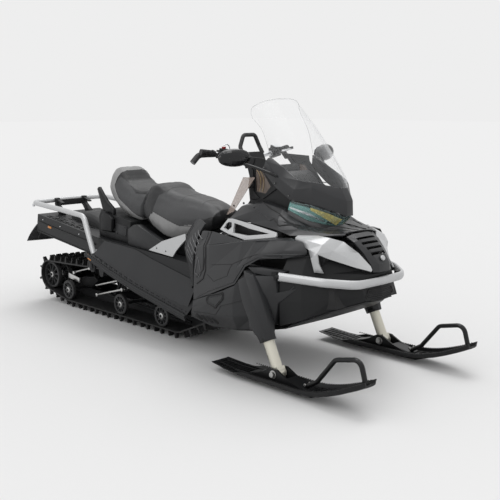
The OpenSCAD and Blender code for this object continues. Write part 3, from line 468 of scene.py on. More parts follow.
def on_top(tree, x, y, lift=0.0, high=1400):
    spot, normal, _, _ = tree.ray_cast(at(x, y, high), Vector((0, 0, -1)))
    return None if spot is None else spot + normal * (lift / 1000) * (1 if normal.z > 0 else -1)

def traced(tree, corners, lift=0.0, closed=False, gap=18, lay=on_side):
    """Corners joined by straight runs and laid on the surface."""
    pairs = list(zip(corners, corners[1:] + corners[:1])) if closed else list(zip(corners, corners[1:]))
    laid = []
    for (x0, z0), (x1, z1) in pairs:
        count = max(1, round(math.hypot(x1 - x0, z1 - z0) / gap))
        laid += [lay(tree, x0 + (x1 - x0) * k / count, z0 + (z1 - z0) * k / count, lift) for k in range(count)]
    if not closed:
        laid.append(lay(tree, *corners[-1], lift))
    return [p for p in laid if p is not None]
print("helpers ready")

# %% [markdown]
# ## The track
# A snow track is one moulded belt: a band on rods, with rows of tall paddles that alternate between the middle
# and the flanks, and steel clips where the sprocket teeth bite. The band follows the outside of four wheels, so
# its path is the outline of four circles pulled tight.

# %% Belt, paddles and clips
wheel_rear, wheel_rear_r = (-2541, 195), 100
sprocket = (-706, 294)
lug_pitch, belt_thick = 0.0725, 0.0096
circles = [(wheel_rear, 100.3), ((-2296, 118), 70), ((-1072, 158), 110), (sprocket, 88.3)]

def tight_loop(grow):
    """Evenly spaced points round the circles, each grown by the same amount."""
    bm = bmesh.new()
    for (x, z), r in circles:
        bmesh.ops.create_circle(bm, segments=72, radius=(r + grow) / 1000,
                                matrix=Matrix.Translation(at(x, 0, z)) @ Matrix.Rotation(math.pi / 2, 4, "X"))
    hull = sorted({(round(v.co.x, 6), round(v.co.z, 6)) for v in bm.verts})
    bm.free()
    def half(points):
        out = []
        for p in points:
            while len(out) > 1:
                (ax, az), (bx, bz) = out[-2:]
                if (bx - ax) * (p[1] - az) > (bz - az) * (p[0] - ax):
                    break
                out.pop()
            out.append(p)
        return out[:-1]
    return [Vector((x, 0, z)) for x, z in half(hull) + half(hull[::-1])]

def walk(loop, distance):
    """Point and direction at a distance along a closed loop."""
    for a, b in zip(loop, loop[1:] + loop[:1]):
        step = (b - a).length
        if distance <= step:
            return a + (b - a) * (distance / step), (b - a).normalized()
        distance -= step
    return loop[0], (loop[1] - loop[0]).normalized()

track_half = 254
outer_loop = tight_loop(10)
loop_length = sum((b - a).length for a, b in zip(outer_loop, outer_loop[1:] + outer_loop[:1]))
rows = round(loop_length / lug_pitch)
bm = bmesh.new()
dots = []
for k in range(rows * 4):
    dots.append(bm.verts.new(walk(outer_loop, loop_length * k / (rows * 4))[0] + Vector((0, -track_half / 1000,
        0))))
ring = [bm.edges.new((dots[k], dots[(k + 1) % len(dots)])) for k in range(len(dots))]
grown = bmesh.ops.extrude_edge_only(bm, edges=ring)["geom"]
bmesh.ops.translate(bm, vec=(0, 2 * track_half / 1000, 0),
    verts=[g for g in grown if isinstance(g, bmesh.types.BMVert)])
bmesh.ops.recalc_face_normals(bm, faces=bm.faces)
bmesh.ops.solidify(bm, geom=bm.faces[:], thickness=belt_thick)
bmesh.ops.recalc_face_normals(bm, faces=bm.faces)
clips, window_shade = bmesh.new(), bmesh.new()

def heading(way):
    """Tilt in degrees and outward direction where the belt runs along way."""
    return math.degrees(math.atan2(-way.z, way.x)), Vector((way.z, 0, -way.x))

def paddle(bm, spot, way, y, width):
    """One lug: a tapered wall with stiffening ribs on both faces and a notched crest."""
    tilt, out = heading(way)
    tilt += 180
    base = spot + Vector((0, y / 1000, 0))
    block(bm, base + out * 0.0145, (13, width, 30), (0, tilt, 0), 0.75)
    teeth = max(2, round(width / 46))
    for k in range(teeth):
        across = (k + 0.5) * width / teeth - width / 2
        block(bm, base + out * 0.0185 + Vector((0, across / 1000, 0)), (24, 11, 37), (0, tilt, 0), 0.5)
        block(bm, base + out * 0.0328 + Vector((0, across / 1000, 0)), (9, width / teeth - 10, 9), (0, tilt, 0),
            0.7)

for k in range(rows):
    spot, way = walk(outer_loop, loop_length * (k + 0.5) / rows)
    tilt, out = heading(way)
    bands = ((-170, 160), (170, 160)) if k % 2 else ((0, 150), (-238, 28), (238, 28))
    for y, width in bands:
        paddle(bm, spot, way, y, width)
    for y in (-88, 88):
        block(clips, spot + out * 0.001 + Vector((0, y / 1000, 0)), (26, 16, 5), (0, tilt, 0))
        block(clips, spot + out * 0.003 + Vector((0, y / 1000, 0)), (10, 20, 6), (0, tilt, 0))
    # Near-black blocks fill the windows between the rods: painted shade in place of open holes in the belt.
    spot, way = walk(outer_loop, loop_length * k / rows)
    tilt, out = heading(way)
    for y in (-88, 88, -222, 222):
        block(window_shade, spot - out * 0.0046 + Vector((0, y / 1000, 0)), (34, 34 if abs(y) < 100 else 24, 10.4),
            (0, tilt, 0))
piece("track_belt", bm, track_rubber, "chassis", ("track",), 30)
# The window blocks are painted shade, not cut holes.
piece("track_window_shade", tidy(window_shade), deep_black, "chassis")
piece("track_clips", tidy(clips, 0.8, 1), steel, "chassis")
print("track rows", rows)

# %% [markdown]
# ## Wheels
# The idlers are moulded nylon wheels with a rubber tyre: a rim, ten thin spokes, a hub and a bearing cap. A spun
# outline gives the rim and the tyre, and bars give the spokes.

# %% Spoked idlers
nylon = moulded("wheel_nylon", (0.017, 0.0175, 0.0185), 0.42, 500.0, 0.2)
def idler(bm, tyre, cap, centre, r, width, spokes, turn=0.0):
    w = width / 2
    spun(tyre, centre, [(-w, r - 9), (-w * 0.86, r - 1.5), (-w * 0.5, r), (w * 0.5, r), (w * 0.86, r - 1.5),
        (w, r - 9), (w * 0.8, r - 11), (-w * 0.8, r - 11)], 56)
    spun(bm, centre, [(-w * 0.92, r - 10.5), (w * 0.92, r - 10.5), (w * 0.92, r - 17), (w * 0.2, r - 20),
        (-w * 0.2, r - 20), (-w * 0.92, r - 17)], 56)
    spun(bm, centre, [(-w * 0.95, 12), (-w * 0.95, 27), (-w * 0.6, 31), (w * 0.6, 31), (w * 0.95, 27),
        (w * 0.95, 12)], 32)
    for k in range(spokes):
        angle = turn + math.tau * k / spokes
        arm = Vector((math.cos(angle), 0, math.sin(angle)))
        reach = (r - 18 + 28) / 2000
        block(bm, centre + arm * reach, (r - 18 - 26, width * 0.62, 5.5), (0, -math.degrees(angle), 0))
        block(bm, centre + arm * reach, (r - 18 - 26, 5, 13), (0, -math.degrees(angle), 0))
    spun(cap, centre, [(-w - 3, 1), (-w - 3, 9), (-w + 1, 19), (w - 1, 19), (w + 3, 9), (w + 3, 1)], 24)
for node, wheels in (("rear_wheels", [(wheel_rear, s * y, wheel_rear_r, 34, 10) for s in (-1, 1)
    for y in (214, 128)]),
                     ("bogie_wheels", [((x, 118), s * 236, 70, 26, 10) for s in (-1, 1)
                             for x in (-2296, -1664, -1224)])):
    bm, tyre, cap = bmesh.new(), bmesh.new(), bmesh.new()
    for k, ((x, z), y, r, width, spokes) in enumerate(wheels):
        idler(bm, tyre, cap, at(x, y, z), r, width, spokes, 0.15 + 0.3 * k)
    piece(node + "_hubs", tidy(bm), nylon, "chassis", (node,), 30)
    piece(node + "_tyres", tidy(tyre), grip_rubber, "chassis", (), 30)
    piece(node + "_caps", tidy(cap), steel, "chassis", (), 30)

# %% [markdown]
# ## Springs, dampers and rods
# The skid hangs on two arms, each with a damper in a coil spring. The springs are real coils on the CAD damper
# bodies, and the limiter rods and adjuster boxes beside them are bright zinc.

# %% Suspension details
spring_paint = metallic_coat("spring_paint", (0.30, 0.31, 0.32), 0.35, 0.4)
coils, bright = bmesh.new(), bmesh.new()
for (x0, z0), (x1, z1) in (((-1118, 228), (-1395, 120)), ((-1782, 231), (-1525, 124))):
    a, b = at(x0, 0, z0), at(x1, 0, z1)
    along = (b - a).normalized()
    side = along.cross(Vector((0, 1, 0))).normalized()
    turns, dots = 9, []
    for k in range(turns * 10 + 1):
        t, w = k / (turns * 10), math.tau * k / 10
        dots.append(a.lerp(b, t) + side * 0.034 * math.cos(w) + Vector((0, 0.034 * math.sin(w), 0)))
    hose(coils, dots, 5.2, sides=2, steps=2)
    rod(bright, a, a.lerp(b, 0.08), 40, 24)
    rod(bright, b, b.lerp(a, 0.08), 40, 24)
for s in (-1, 1):
    rod(bright, at(-1998, s * 196, 122), at(-1700, s * 196, 206), 8)
    rod(bright, at(-2023, s * 190, 184), at(-1765, s * 190, 256), 7)
    rod(bright, at(-2281, s * 196, 244), at(-2082, s * 196, 300), 7)
    block(bright, at(-2278, s * 203, 204), (140, 10, 36), (0, 8, 0))
    for x, z in ((-2281, 240), (-2082, 300), (-1998, 122), (-1700, 206)):
        rod(bright, at(x, s * 186, z), at(x, s * 208, z), 12)
piece("suspension_springs", tidy(coils), spring_paint, "chassis")
piece("suspension_rods", tidy(bright, 1.0), steel, "chassis")
dark = bmesh.new()
for s in (-1, 1):
    plate(dark, [at(x, s * 84, z) for x, z in ((-2380, 118), (-2200, 128), (-2120, 190), (-2160, 214), (-2300, 196),
        (-2400, 160))], Vector((0, s * 0.026, 0)))
    for x in (-1960, -1760, -1560, -1360, -1180):
        rod(dark, at(x, s * 76, 100), at(x, s * 100, 100), 10)
    rod(dark, at(-2500, s * 100, 120), at(-1100, s * 100, 72), 9)
piece("skid_brackets", tidy(dark, 2.0), black_plastic, "chassis")

# %% [markdown]
# ## The two seats
# Snowmobile seats are moulded foam under tight vinyl. The foam is swollen by a short cloth simulation with air
# pressure, so the faces crown and the edges round. Three tones of vinyl meet at piped seams: a dark top, a middle
# grey flank and a light insert. Each face takes its tone from the area that its middle falls in.

# %% Vinyl
def vinyl(name, colour, roughness=0.5):
    """Grained seat cover with soft wear."""
    f = Finish(name, colour, roughness, specular_ior_level=0.35)
    worn = f.cloud(9.0, 5.0, 0.6)
    f.set("Base Color", f.mix(worn, shade(colour, 0.82), shade(colour, 1.2)))
    f.set("Roughness", roughness - 0.05 + worn * 0.12)
    f.bump(f.cells(950.0) + f.cloud(240.0, 3.0) * 0.5, 0.4, 0.0006)
    return f.material

vinyl_dark = vinyl("vinyl_dark", (0.013, 0.0132, 0.014), 0.42)
vinyl_mid = vinyl("vinyl_mid", (0.040, 0.0405, 0.042), 0.46)
vinyl_light = vinyl("vinyl_light", (0.20, 0.20, 0.20), 0.44)
piping = vinyl("vinyl_piping", (0.018, 0.018, 0.019), 0.5)

# %% Foam that swells
voxel, air_pressure, swell_frames, smooth_passes = 0.006, 4.0, 20, 14
seat_base = 0.70

def inside(x, z, corners):
    """Whether a point of the flank lies in a closed outline."""
    hit = False
    for (x0, z0), (x1, z1) in zip(corners, corners[1:] + corners[:1]):
        if (z0 > z) != (z1 > z) and x < (x1 - x0) * (z - z0) / (z1 - z0) + x0:
            hit = not hit
    return hit

def meshed(mesh, kind, **settings):
    """The mesh after one modifier."""
    carrier = placed("foam", mesh)
    modifier = carrier.modifiers.new(kind, kind)
    for key, value in settings.items():
        setattr(modifier, key, value)
    if kind == "CLOTH":
        modifier.settings.use_pressure = True
        modifier.settings.uniform_pressure_force = air_pressure
        modifier.settings.effector_weights.gravity = 0.0
        modifier.settings.quality = 4
        for number in range(1, swell_frames + 1):
            bpy.context.scene.frame_set(number)
    result = bpy.data.meshes.new_from_object(carrier.evaluated_get(bpy.context.evaluated_depsgraph_get()))
    bpy.data.objects.remove(carrier)
    bpy.context.scene.frame_set(1)
    return result

def foam(node, tones, materials, cap=0.012, start=0.009):
    """A swollen cushion in the CAD solid's place, with a tone for each outlined area."""
    bm = copy_of(node)
    bmesh.ops.triangulate(bm, faces=[f for f in bm.faces if len(f.verts) > 4])
    mesh = bpy.data.meshes.new("foam")
    bm.to_mesh(mesh)
    bm.free()
    mesh = meshed(mesh, "REMESH", mode="VOXEL", voxel_size=voxel)
    rest = [v.co.copy() for v in mesh.vertices]
    for v, p in zip(mesh.vertices, rest):
        v.co = p - v.normal * start
    slim = [v.co.copy() for v in mesh.vertices]
    mesh = meshed(mesh, "CLOTH")
    for v, p, low in zip(mesh.vertices, rest, slim):
        moved = v.co - low
        v.co = low + moved * min(1.0, cap / max(moved.length, 1e-6))
        if p.z < cad_low.z + seat_base and v.co.z < p.z:
            v.co.z = p.z
    bm = bmesh.new()
    bm.from_mesh(mesh)
    for _ in range(smooth_passes):
        bmesh.ops.smooth_vert(bm, verts=bm.verts, factor=0.5, use_axis_x=True, use_axis_y=True, use_axis_z=True)
    for face in bm.faces:
        middle = face.calc_center_median()
        x, z = (middle.x - pivot_station) * 1000, middle.z * 1000
        for number, (least, outline) in enumerate(tones, 1):
            if abs(middle.y) > least / 1000 and inside(x, z, outline):
                face.material_index = number
    made = piece(node + "_foam", bm, materials, "chassis", (node,), 60)
    return made

driver_flank = [(-1345, 872), (-1300, 902), (-1180, 884), (-980, 860), (-771, 850), (-758, 812), (-900, 762),
    (-1010, 716), (-1100, 704), (-1245, 748), (-1340, 774)]
driver_insert = [(-1340, 772), (-1245, 746), (-1100, 702), (-1010, 716), (-985, 706), (-1024, 668), (-1157, 612),
    (-1215, 606), (-1379, 680), (-1388, 730)]
driver = foam("driver_seat", [(60, driver_flank), (60, driver_insert)], [vinyl_dark, vinyl_mid, vinyl_light])
passenger_rim = [(-1790, 1040), (-1806, 972), (-1812, 905), (-1735, 826), (-1620, 768), (-1520, 716), (-1490, 680),
    (-1560, 670), (-1660, 720), (-1800, 765), (-1905, 830), (-1960, 900), (-1930, 1000), (-1830, 1050)]
passenger_flank = [(-1812, 905), (-1790, 960), (-1690, 905), (-1600, 862), (-1490, 860), (-1490, 690), (-1520, 716),
    (-1620, 768), (-1735, 826)]
passenger = foam("passenger_seat", [(0, passenger_rim), (60, passenger_flank)],
    [vinyl_dark, vinyl_light, vinyl_mid])

# %% Seams
def pipe(bm, tree, *lines):
    """Piping sunk into the right flank along each line, and the same on the left."""
    for line in lines:
        path = traced(tree, line, -0.6)
        if len(path) > 2:
            hose(bm, path, 2.0)
            hose(bm, [flipped(p) for p in path], 2.0)

bm = bmesh.new()
tree = skin(driver.name)
pipe(bm, tree, driver_flank[:5], [(-1345, 872), (-1340, 774)] + driver_flank[:-4:-1] + [(-985, 706)],
    [(-1340, 772), (-1388, 730), (-1379, 680), (-1215, 606), (-1157, 612), (-1024, 668), (-985, 706), (-900, 762),
    (-800, 800)])
for x, wide in ((-1330, 128), (-1180, 124), (-1010, 96)):
    path = [p for p in (on_top(tree, x + 26 * (abs(y) / wide) ** 2, y, -0.8, 1000)
        for y in [wide * k / 10 for k in range(-10, 11)]) if p is not None]
    hose(bm, path, 1.8)
tree = skin(passenger.name)
pipe(bm, tree, [(-1800, 1000), (-1806, 972), (-1812, 905), (-1735, 826), (-1620, 768), (-1520, 716)],
    [(-1690, 905), (-1600, 868), (-1520, 866)])
piece("seat_seams", tidy(bm), piping, "chassis")
print("seats swollen and piped")

# %% [markdown]
# ## Rack, lamp and tunnel furniture
# The rear rack is one bent tube. Between its posts hang the tail lamp and its bar. The tunnel deck carries a row
# of slots, drawn as thin dark blocks of painted shade, a folded bead along its side, a row of rivets and amber
# reflectors.

# %% Rear end
lamp_red = clear_sheet("tail_lens", (0.42, 0.02, 0.018), 0.94, 1.0, 0.12)
amber = clear_sheet("amber_lens", (0.55, 0.20, 0.03), 0.95, 1.0, 0.15)
red, lens_amber, dark, bright = (bmesh.new() for _ in range(4))
block(red, at(-2617, 0, 716), (6, 150, 26))
for y in (-50, 0, 50):
    block(red, at(-2618, y, 716), (8, 40, 20))
for s in (-1, 1):
    block(dark, at(-2560, s * 118, 728), (70, 26, 10), (0, 18, 0))
    for k in range(3):
        block(dark, at(-2606, s * 118, 690 + 18 * k), (14, 40, 5))
    # Two rows of thin dark blocks along the deck: painted shade standing in for the open slots.
    for k in range(7):
        block(dark, at(-2520 + 70 * k, s * 226, 634 - 8.2 * k), (44, 12, 3), (0, 6.7, 0))
        block(dark, at(-2520 + 70 * k, s * 246, 632 - 8.2 * k), (44, 8, 3), (0, 6.7, 0))
    for x in (-2560, -2330, -2090, -1965):
        z = 606 - (x + 2560) * 0.118
        rod(bright, at(x, s * 273, z), at(x, s * 277, z), 5, 12, 3.5)
    block(lens_amber, at(-2470, s * 274, 560), (44, 5, 15), (0, 6.7, 0))
    block(lens_amber, at(-1880, s * 345, 440), (9, 5, 16), (0, 20, 0))
    block(lens_amber, at(-1770, s * 408, 433), (36, 3, 9), (0, 16, 0))
    hose(dark, [at(-2620, s * 275, 590), at(-2300, s * 275, 551), at(-2000, s * 275, 516), at(-1890, s * 275, 503)],
        4.2)
    hose(dark, [at(-2630, s * 275, 520), at(-2300, s * 275, 478), at(-1960, s * 275, 436), at(-1900, s * 275, 430)],
        3.4)
    for x in (-1845, -1828):
        rod(bright, at(x, s * 322, 452), at(x, s * 331, 452), 6, 6)
    rod(bright, at(-2628, s * 306, 722), at(-2628, s * 306, 702), 9, 12)
piece("tail_lamp_lens", tidy(red, 1.6), lamp_red, "chassis")
piece("amber_reflectors", tidy(lens_amber, 1.2), amber, "chassis")
piece("rear_trim_and_slot_shade", tidy(dark, 0.8), black_plastic, "chassis")
piece("rear_rivets", tidy(bright, 0.6, 1), bare_alloy, "chassis")

# %% Snow flap ribs and seat box panel
flap, lid, hooks = (bmesh.new() for _ in range(3))
for y in (-200, -100, 0, 100, 200):
    hose(flap, [at(-2644 - 62 * math.sin(math.pi / 2 * t), y * (1 + 0.18 * t), 570 - 132 * t)
        for t in (0.05, 0.3, 0.55, 0.8, 0.97)], 5.0)
hose(flap, [at(-2700, y, 438 + 8 * (y / 326) ** 2) for y in (-314, -160, 0, 160, 314)], 5.0)
piece("snow_flap_ribs", tidy(flap), flap_rubber, "chassis")
for s in (-1, 1):
    plate(lid, [at(x, s * 199, z) for x, z in ((-1868, 600), (-1868, 672), (-1848, 682), (-1742, 676), (-1730, 664),
        (-1730, 606), (-1744, 598))], Vector((0, s * 0.006, 0)))
    block(lid, at(-1795, s * 207, 640), (74, 8, 46))
    block(hooks, at(-1770, s * 213, 650), (18, 8, 34))
    block(hooks, at(-1812, s * 213, 622), (34, 6, 10))
    block(lid, at(-1655, s * 228, 622), (120, 5, 70), (0, 6, 0))
    for x, z in ((-1700, 596), (-1610, 588), (-1700, 650), (-1610, 642)):
        rod(hooks, at(x, s * 229, z), at(x, s * 234, z), 5, 6)
piece("seat_box_panels", tidy(lid, 3.0), charcoal_low, "chassis")
piece("seat_box_latches", tidy(hooks, 1.5), black_gloss, "chassis")

# %% [markdown]
# ## Running boards
# Boots need a way to shed snow, so the boards are open gratings with punched teeth. The outer edge is a rolled
# tube with teeth along its top, and a tab hangs from its rear end.

# %% Grating teeth
board_line = [(-1930, 446), (-1820, 463), (-1550, 384), (-1295, 319), (-800, 222)]
def board_z(x):
    for (x0, z0), (x1, z1) in zip(board_line, board_line[1:]):
        if x <= x1:
            return z0 + (z1 - z0) * (x - x0) / (x1 - x0)
    return board_line[-1][1]
teeth, tab = bmesh.new(), bmesh.new()
for k in range(54):
    x = -1780 + 18 * k
    slope = math.degrees(math.atan2(board_z(x - 20) - board_z(x + 20), 40))
    block(teeth, at(x, -394, board_z(x) + 6), (9, 5, 9), (0, slope, 0), 0.4)
    if k % 3 != 1:
        for y in (-378, -330, -296):
            block(teeth, at(x, y, board_z(x) + 8 + (398 + y) * 0.26), (8, 3, 8), (0, slope, 0), 0.4)
plate(tab, [at(x, -398, z) for x, z in ((-1800, 446), (-1740, 424), (-1722, 380), (-1736, 350), (-1764, 346),
    (-1792, 372))], Vector((0, 0.012, 0)))
plate(tab, [at(x, -404, z) for x, z in ((-1788, 420), (-1752, 408), (-1742, 378), (-1760, 362), (-1782, 384))],
    Vector((0, 0.008, 0)))
for bm, name, material in ((teeth, "board_teeth", dark_coat), (tab, "board_tabs", black_plastic)):
    piece(name, both_sides(tidy(bm, 1.2 if bm is tab else 0)), material, "chassis")
print("rear end and boards done")

# %% [markdown]
# ## Foot wells and the dark inside
# Between the seat and each board runs a smooth sloping wall. Inside the bonnet nothing may let daylight through,
# so plain dark ducts and a fire wall stand behind every vent and gap, as they do on the real machine. Their
# near-black colour is also painted shade for the dark inside the bonnet.

# %% Walls and ducts
wells, inner = bmesh.new(), bmesh.new()
stations = list(range(-1780, -790, 45))
ribbon(wells, [at(x, -277, min(board_z(x) + 170, 545 - 0.051 * (x + 1850))) for x in stations],
       [at(x, -366, board_z(x) + 12) for x in stations], -3.0)
hose(wells, [at(x, -367, board_z(x) + 12) for x in stations], 3.6)
piece("foot_well_walls", both_sides(tidy(wells)), charcoal_low, "chassis", (), 50)
# These blocks are partly real ducts and fire wall and partly painted shade: near-black fills for the dark seen through
# the vents.
block(inner, at(-330, 0, 650), (420, 500, 170), (0, 0, 0), 0.92)
block(inner, at(-60, 0, 655), (250, 430, 150), (0, 12, 0), 0.9)
block(inner, at(100, 0, 560), (200, 190, 200), (0, 20, 0), 0.9)
block(inner, at(20, 0, 455), (380, 520, 150), (0, -10, 0), 0.9)
for s in (-1, 1):
    plate(inner, [at(x, s * 272, z) for x, z in ((-570, 730), (-560, 800), (-500, 806), (-160, 772), (-150, 745),
        (-340, 712))], Vector((0, -s * 0.014, 0)))
    plate(inner, [at(x, s * 376, z) for x, z in ((-745, 250), (-745, 420), (-560, 520), (-300, 600), (-262, 430),
        (-420, 250))], Vector((0, -s * 0.006, 0)))
    hose(inner, [at(-545, s * 284, 764), at(-520, s * 290, 776), at(-498, s * 282, 780)], 9)
    rod(inner, at(-300, s * 240, 745), at(-300, s * 292, 745), 22, 18)
    plate(inner, [at(x, s * 250, z) for x, z in ((-20, 620), (-20, 742), (90, 730), (130, 660), (96, 600))],
        Vector((0, -s * 0.06, 0)))
piece("inner_ducts_and_shade", tidy(inner, 4.0), deep_black, "chassis")

# %% [markdown]
# ## Lines on the body panels
# Moulded panels are broken up by shallow creases, hatches and slots. Each line is a thin bead sunk half into the
# surface: dark where two panels meet, in panel colour where a rib stands proud. A bead is laid by asking the
# finished panel where its surface is, straight in from the side.

# %% Creases, ribs, hatch and slots
pale_line = moulded("pale_line", (0.062, 0.063, 0.066), 0.36, 900.0, 0.1)
seams, ribs, pale_ribs, slot_shade = (bmesh.new() for _ in range(4))
right_side = skin("side_panel_right_shell", "lower_panel_right_shell", "bumper_carriers_shell", "vent_trims_shell")
knee = skin("knee_pads", "side_panel_right_shell")
bead_scale = 1.35

def bead(bm, tree, corners, r, lift=0.0, closed=False):
    """A bead of nominal radius r in millimetres along a line of the flank."""
    path = traced(tree, corners, lift, closed)
    if len(path) > 2:
        hose(bm, path, r * bead_scale, closed)

bead(seams, right_side, [(-604, 352), (-590, 336), (-522, 322), (-456, 384), (-458, 418), (-600, 378)], 3.6, 0.4,
    True)
bead(ribs, right_side, [(-596, 350), (-584, 340), (-526, 331), (-468, 386), (-469, 407), (-588, 371)], 1.8, 0.6,
    True)
# Slots are fat near-black beads sunk into the panel: painted shade in place of the openings.
for k in range(4):
    x = -694 + 42 * k
    bead(slot_shade, right_side, [(x - 10, 250), (x + 22, 218)], 7.0, -1.0)
bead(seams, right_side, [(-722, 262), (-640, 272), (-521, 283), (-472, 342), (-300, 402)], 1.6)
bead(seams, right_side, [(-700, 470), (-640, 520), (-622, 600), (-630, 730)], 2.6)
bead(ribs, right_side, [(-610, 668), (-480, 690), (-325, 722), (-60, 752)], 2.0)
bead(seams, right_side, [(-560, 560), (-380, 590), (-270, 640), (-180, 672)], 1.4)
bead(seams, right_side, [(-600, 500), (-540, 470), (-420, 520), (-380, 590)], 1.2)
bead(ribs, right_side, [(-700, 352), (-598, 402), (-362, 496), (-276, 604), (-180, 654), (-50, 668)], 2.2, 0.4)
for z in (664, 682):
    bead(ribs, right_side, [(-150, z - 10), (-20, z), (60, z + 8)], 2.2)
# A small slot outlined the same way, in painted shade.
bead(slot_shade, right_side, [(-118, 430), (-60, 452), (-52, 470), (-112, 452)], 3.0, 0, True)
bead(ribs, right_side, [(-120, 422), (-40, 448), (20, 520)], 3.0)
for start, middle, end in (((-862, 600), (-852, 578), (-740, 530)), ((-856, 628), (-846, 604), (-731, 548)),
                           ((-846, 652), (-834, 628), (-722, 572)), ((-828, 670), (-812, 650), (-714, 598)),
                           ((-804, 690), (-790, 672), (-704, 626)), ((-782, 708), (-768, 694), (-694, 656)),
                           ((-758, 724), (-744, 712), (-684, 686))):
    bead(pale_ribs, knee, [start, middle, end], 2.3, 0.5)
bead(pale_ribs, knee, [(-718, 493), (-678, 476), (-664, 505), (-680, 556), (-697, 581), (-711, 530)], 2.2, 0.5,
    True)
bead(seams, knee, [(-640, 768), (-622, 700), (-617, 600), (-617, 520), (-640, 470), (-700, 430)], 3.0)
bead(ribs, knee, [(-660, 764), (-648, 690), (-640, 600), (-644, 520), (-672, 478)], 2.0, 0.4)
bead(seams, knee, [(-880, 748), (-912, 690), (-925, 600), (-890, 512), (-812, 420)], 2.0)
bead(ribs, knee, [(-850, 740), (-874, 690), (-888, 610), (-858, 530), (-790, 450)], 1.8)
for bm, name, material in ((seams, "panel_seams", deep_black), (ribs, "panel_ribs", charcoal),
        (slot_shade, "panel_slot_shade", deep_black), (pale_ribs, "knee_pad_ribs", pale_line)):
    piece(name, both_sides(tidy(bm)), material, "chassis")

# %% Hood lines and screws
hood_top = skin("hood_shell")
seams, ribs, screws = (bmesh.new() for _ in range(3))
for line, bm, r in (([(-440, -196), (-300, -222), (-170, -236), (-72, -222), (30, -176)], seams, 2.0),
                    ([(-226, -262), (-170, -276), (-72, -232), (-120, -222), (-205, -240)], seams, 2.4),
                    ([(-360, -258), (-240, -268), (-226, -262)], ribs, 1.8),
                    ([(-60, -120), (40, -112), (140, -92)], seams, 1.6),
                    ([(-50, -40), (60, -36), (140, -32)], ribs, 1.6)):
    path = traced(hood_top, line, lay=on_top)
    if len(path) > 2:
        hose(bm, path, r * 1.5)
for x, y in ((-392, -240), (-150, -252), (-20, -210), (96, -150)):
    spot = on_top(hood_top, x, y)
    if spot is not None:
        rod(screws, spot - Vector((0, 0, 0.002)), spot + Vector((0, 0, 0.0022)), 7, 18, 5.5)
piece("hood_seams", both_sides(tidy(seams)), deep_black, "chassis")
piece("hood_ribs", both_sides(tidy(ribs)), charcoal, "chassis")
piece("hood_screws", both_sides(tidy(screws, 0.5, 1)), black_gloss, "chassis")
print("panel lines laid")

# %% [markdown]
# ## Headlight
# Behind the clear cover lie a teal reflector bowl, a warm curved band that throws the low beam and a bright
# chrome strip. They are ribbons between two rails that follow the cover a few millimetres behind it.

# %% Lamp bowl
lens_low = [(-158, 212, 888), (-76, 150, 832), (-20, 90, 812), (16, 30, 800), (16, -30, 800), (-20, -90, 812),
    (-76, -150, 832), (-158, -212, 888)]
lens_high = [(-142, 211, 934), (-52, 154, 914), (22, 84, 878), (74, 28, 850), (74, -28, 850), (22, -84, 878),
    (-52, -154, 914), (-142, -211, 934)]
def rail(t, back, bow=0.0):
    """Line across the lamp at share t of its height, set back behind the cover."""
    line = []
    for k, (a, b) in enumerate(zip(lens_low, lens_high)):
        u = t + bow * math.sin(math.pi * (k - 3.5) / 3.5 * 0.5) ** 2
        line.append(at(a[0] + (b[0] - a[0]) * u - back, (a[1] + (b[1] - a[1]) * u) * 0.985,
            a[2] + (b[2] - a[2]) * u - back * 0.15))
    return line
def lamp_point(k, t, back=3.0):
    """One point of the lamp: its rail number and share of the height."""
    return rail(t, back)[k]
teal = metallic_coat("lamp_teal", (0.16, 0.33, 0.31), 0.22, 0.55)
warm = metallic_coat("lamp_warm", (0.62, 0.52, 0.16), 0.25, 0.4)
chrome = brushed("lamp_chrome", (0.72, 0.74, 0.76), 0.16, (1.0, 40.0, 1.0))
for side, start in ((-1, 4), (1, 3)):
    for part, material, low, high in (
            ("band", warm, ((2, 0.70), (1, 0.42), (0, 0.06)), ((2, 0.86), (1, 0.88), (0, 0.78))),
            ("streak", chrome, ((3, 0.20), (2, 0.30), (1, 0.16)), ((3, 0.36), (2, 0.48), (1, 0.26)))):
        bm = bmesh.new()
        first, second = ([lamp_point(start - side * step, t) for step, t in edge] for edge in (low, high))
        ribbon(bm, first, second, 1.0)
        piece(f"lamp_{part}_{'left' if side > 0 else 'right'}", tidy(bm), material, "chassis", (), 60)
for name, low, high, back, bow, material in (("lamp_bowl", 0.04, 0.96, 11, 0, teal),
        ("lamp_brow", 0.84, 1.0, 6.5, 0.0, black_gloss)):
    bm = bmesh.new()
    ribbon(bm, rail(low, back, bow), rail(high, back, bow), 1.4)
    piece(name, tidy(bm), material, "chassis", (), 60)

# %% Grille bars, badge disc, nose grille and bumper trim
bars, disc, mesh_bars, straps = (bmesh.new() for _ in range(4))
for k in range(4):
    x, z = 190 + 26 * k, 744 - 25 * k
    for n in range(3):
        rod(bars, at(x - 8 + 6 * n, -66 + 5 * k, z - 4 - 6 * n), at(x - 8 + 6 * n, 66 - 5 * k, z - 4 - 6 * n), 1.8,
            8)
    block(bars, at(x - 4, 0, z - 10), (26, 4, 22), (0, 45, 0))
badge = at(306, 0, 660)
rod(disc, badge, badge + Vector((0.0075, 0, 0.0035)), 15, 32, 13)
cowl = skin("bumper_carriers_shell")
def on_front(tree, y, z, lift=0.0):
    """Point of the nose straight back from the front."""
    spot, _, _, _ = tree.ray_cast(at(900, y, z), Vector((-1, 0, 0)))
    return None if spot is None else spot + Vector((lift / 1000, 0, 0))
for z, half in ((450, 84), (460, 98), (470, 104), (480, 100), (490, 90)):
    hose(mesh_bars, traced(cowl, [(-half, z), (half, z)], 0.0, False, 16, on_front), 3.4)
for y in range(-90, 91, 15):
    hose(mesh_bars, traced(cowl, [(y, 450), (y, 490)], 0.0, False, 16, on_front), 2.2)
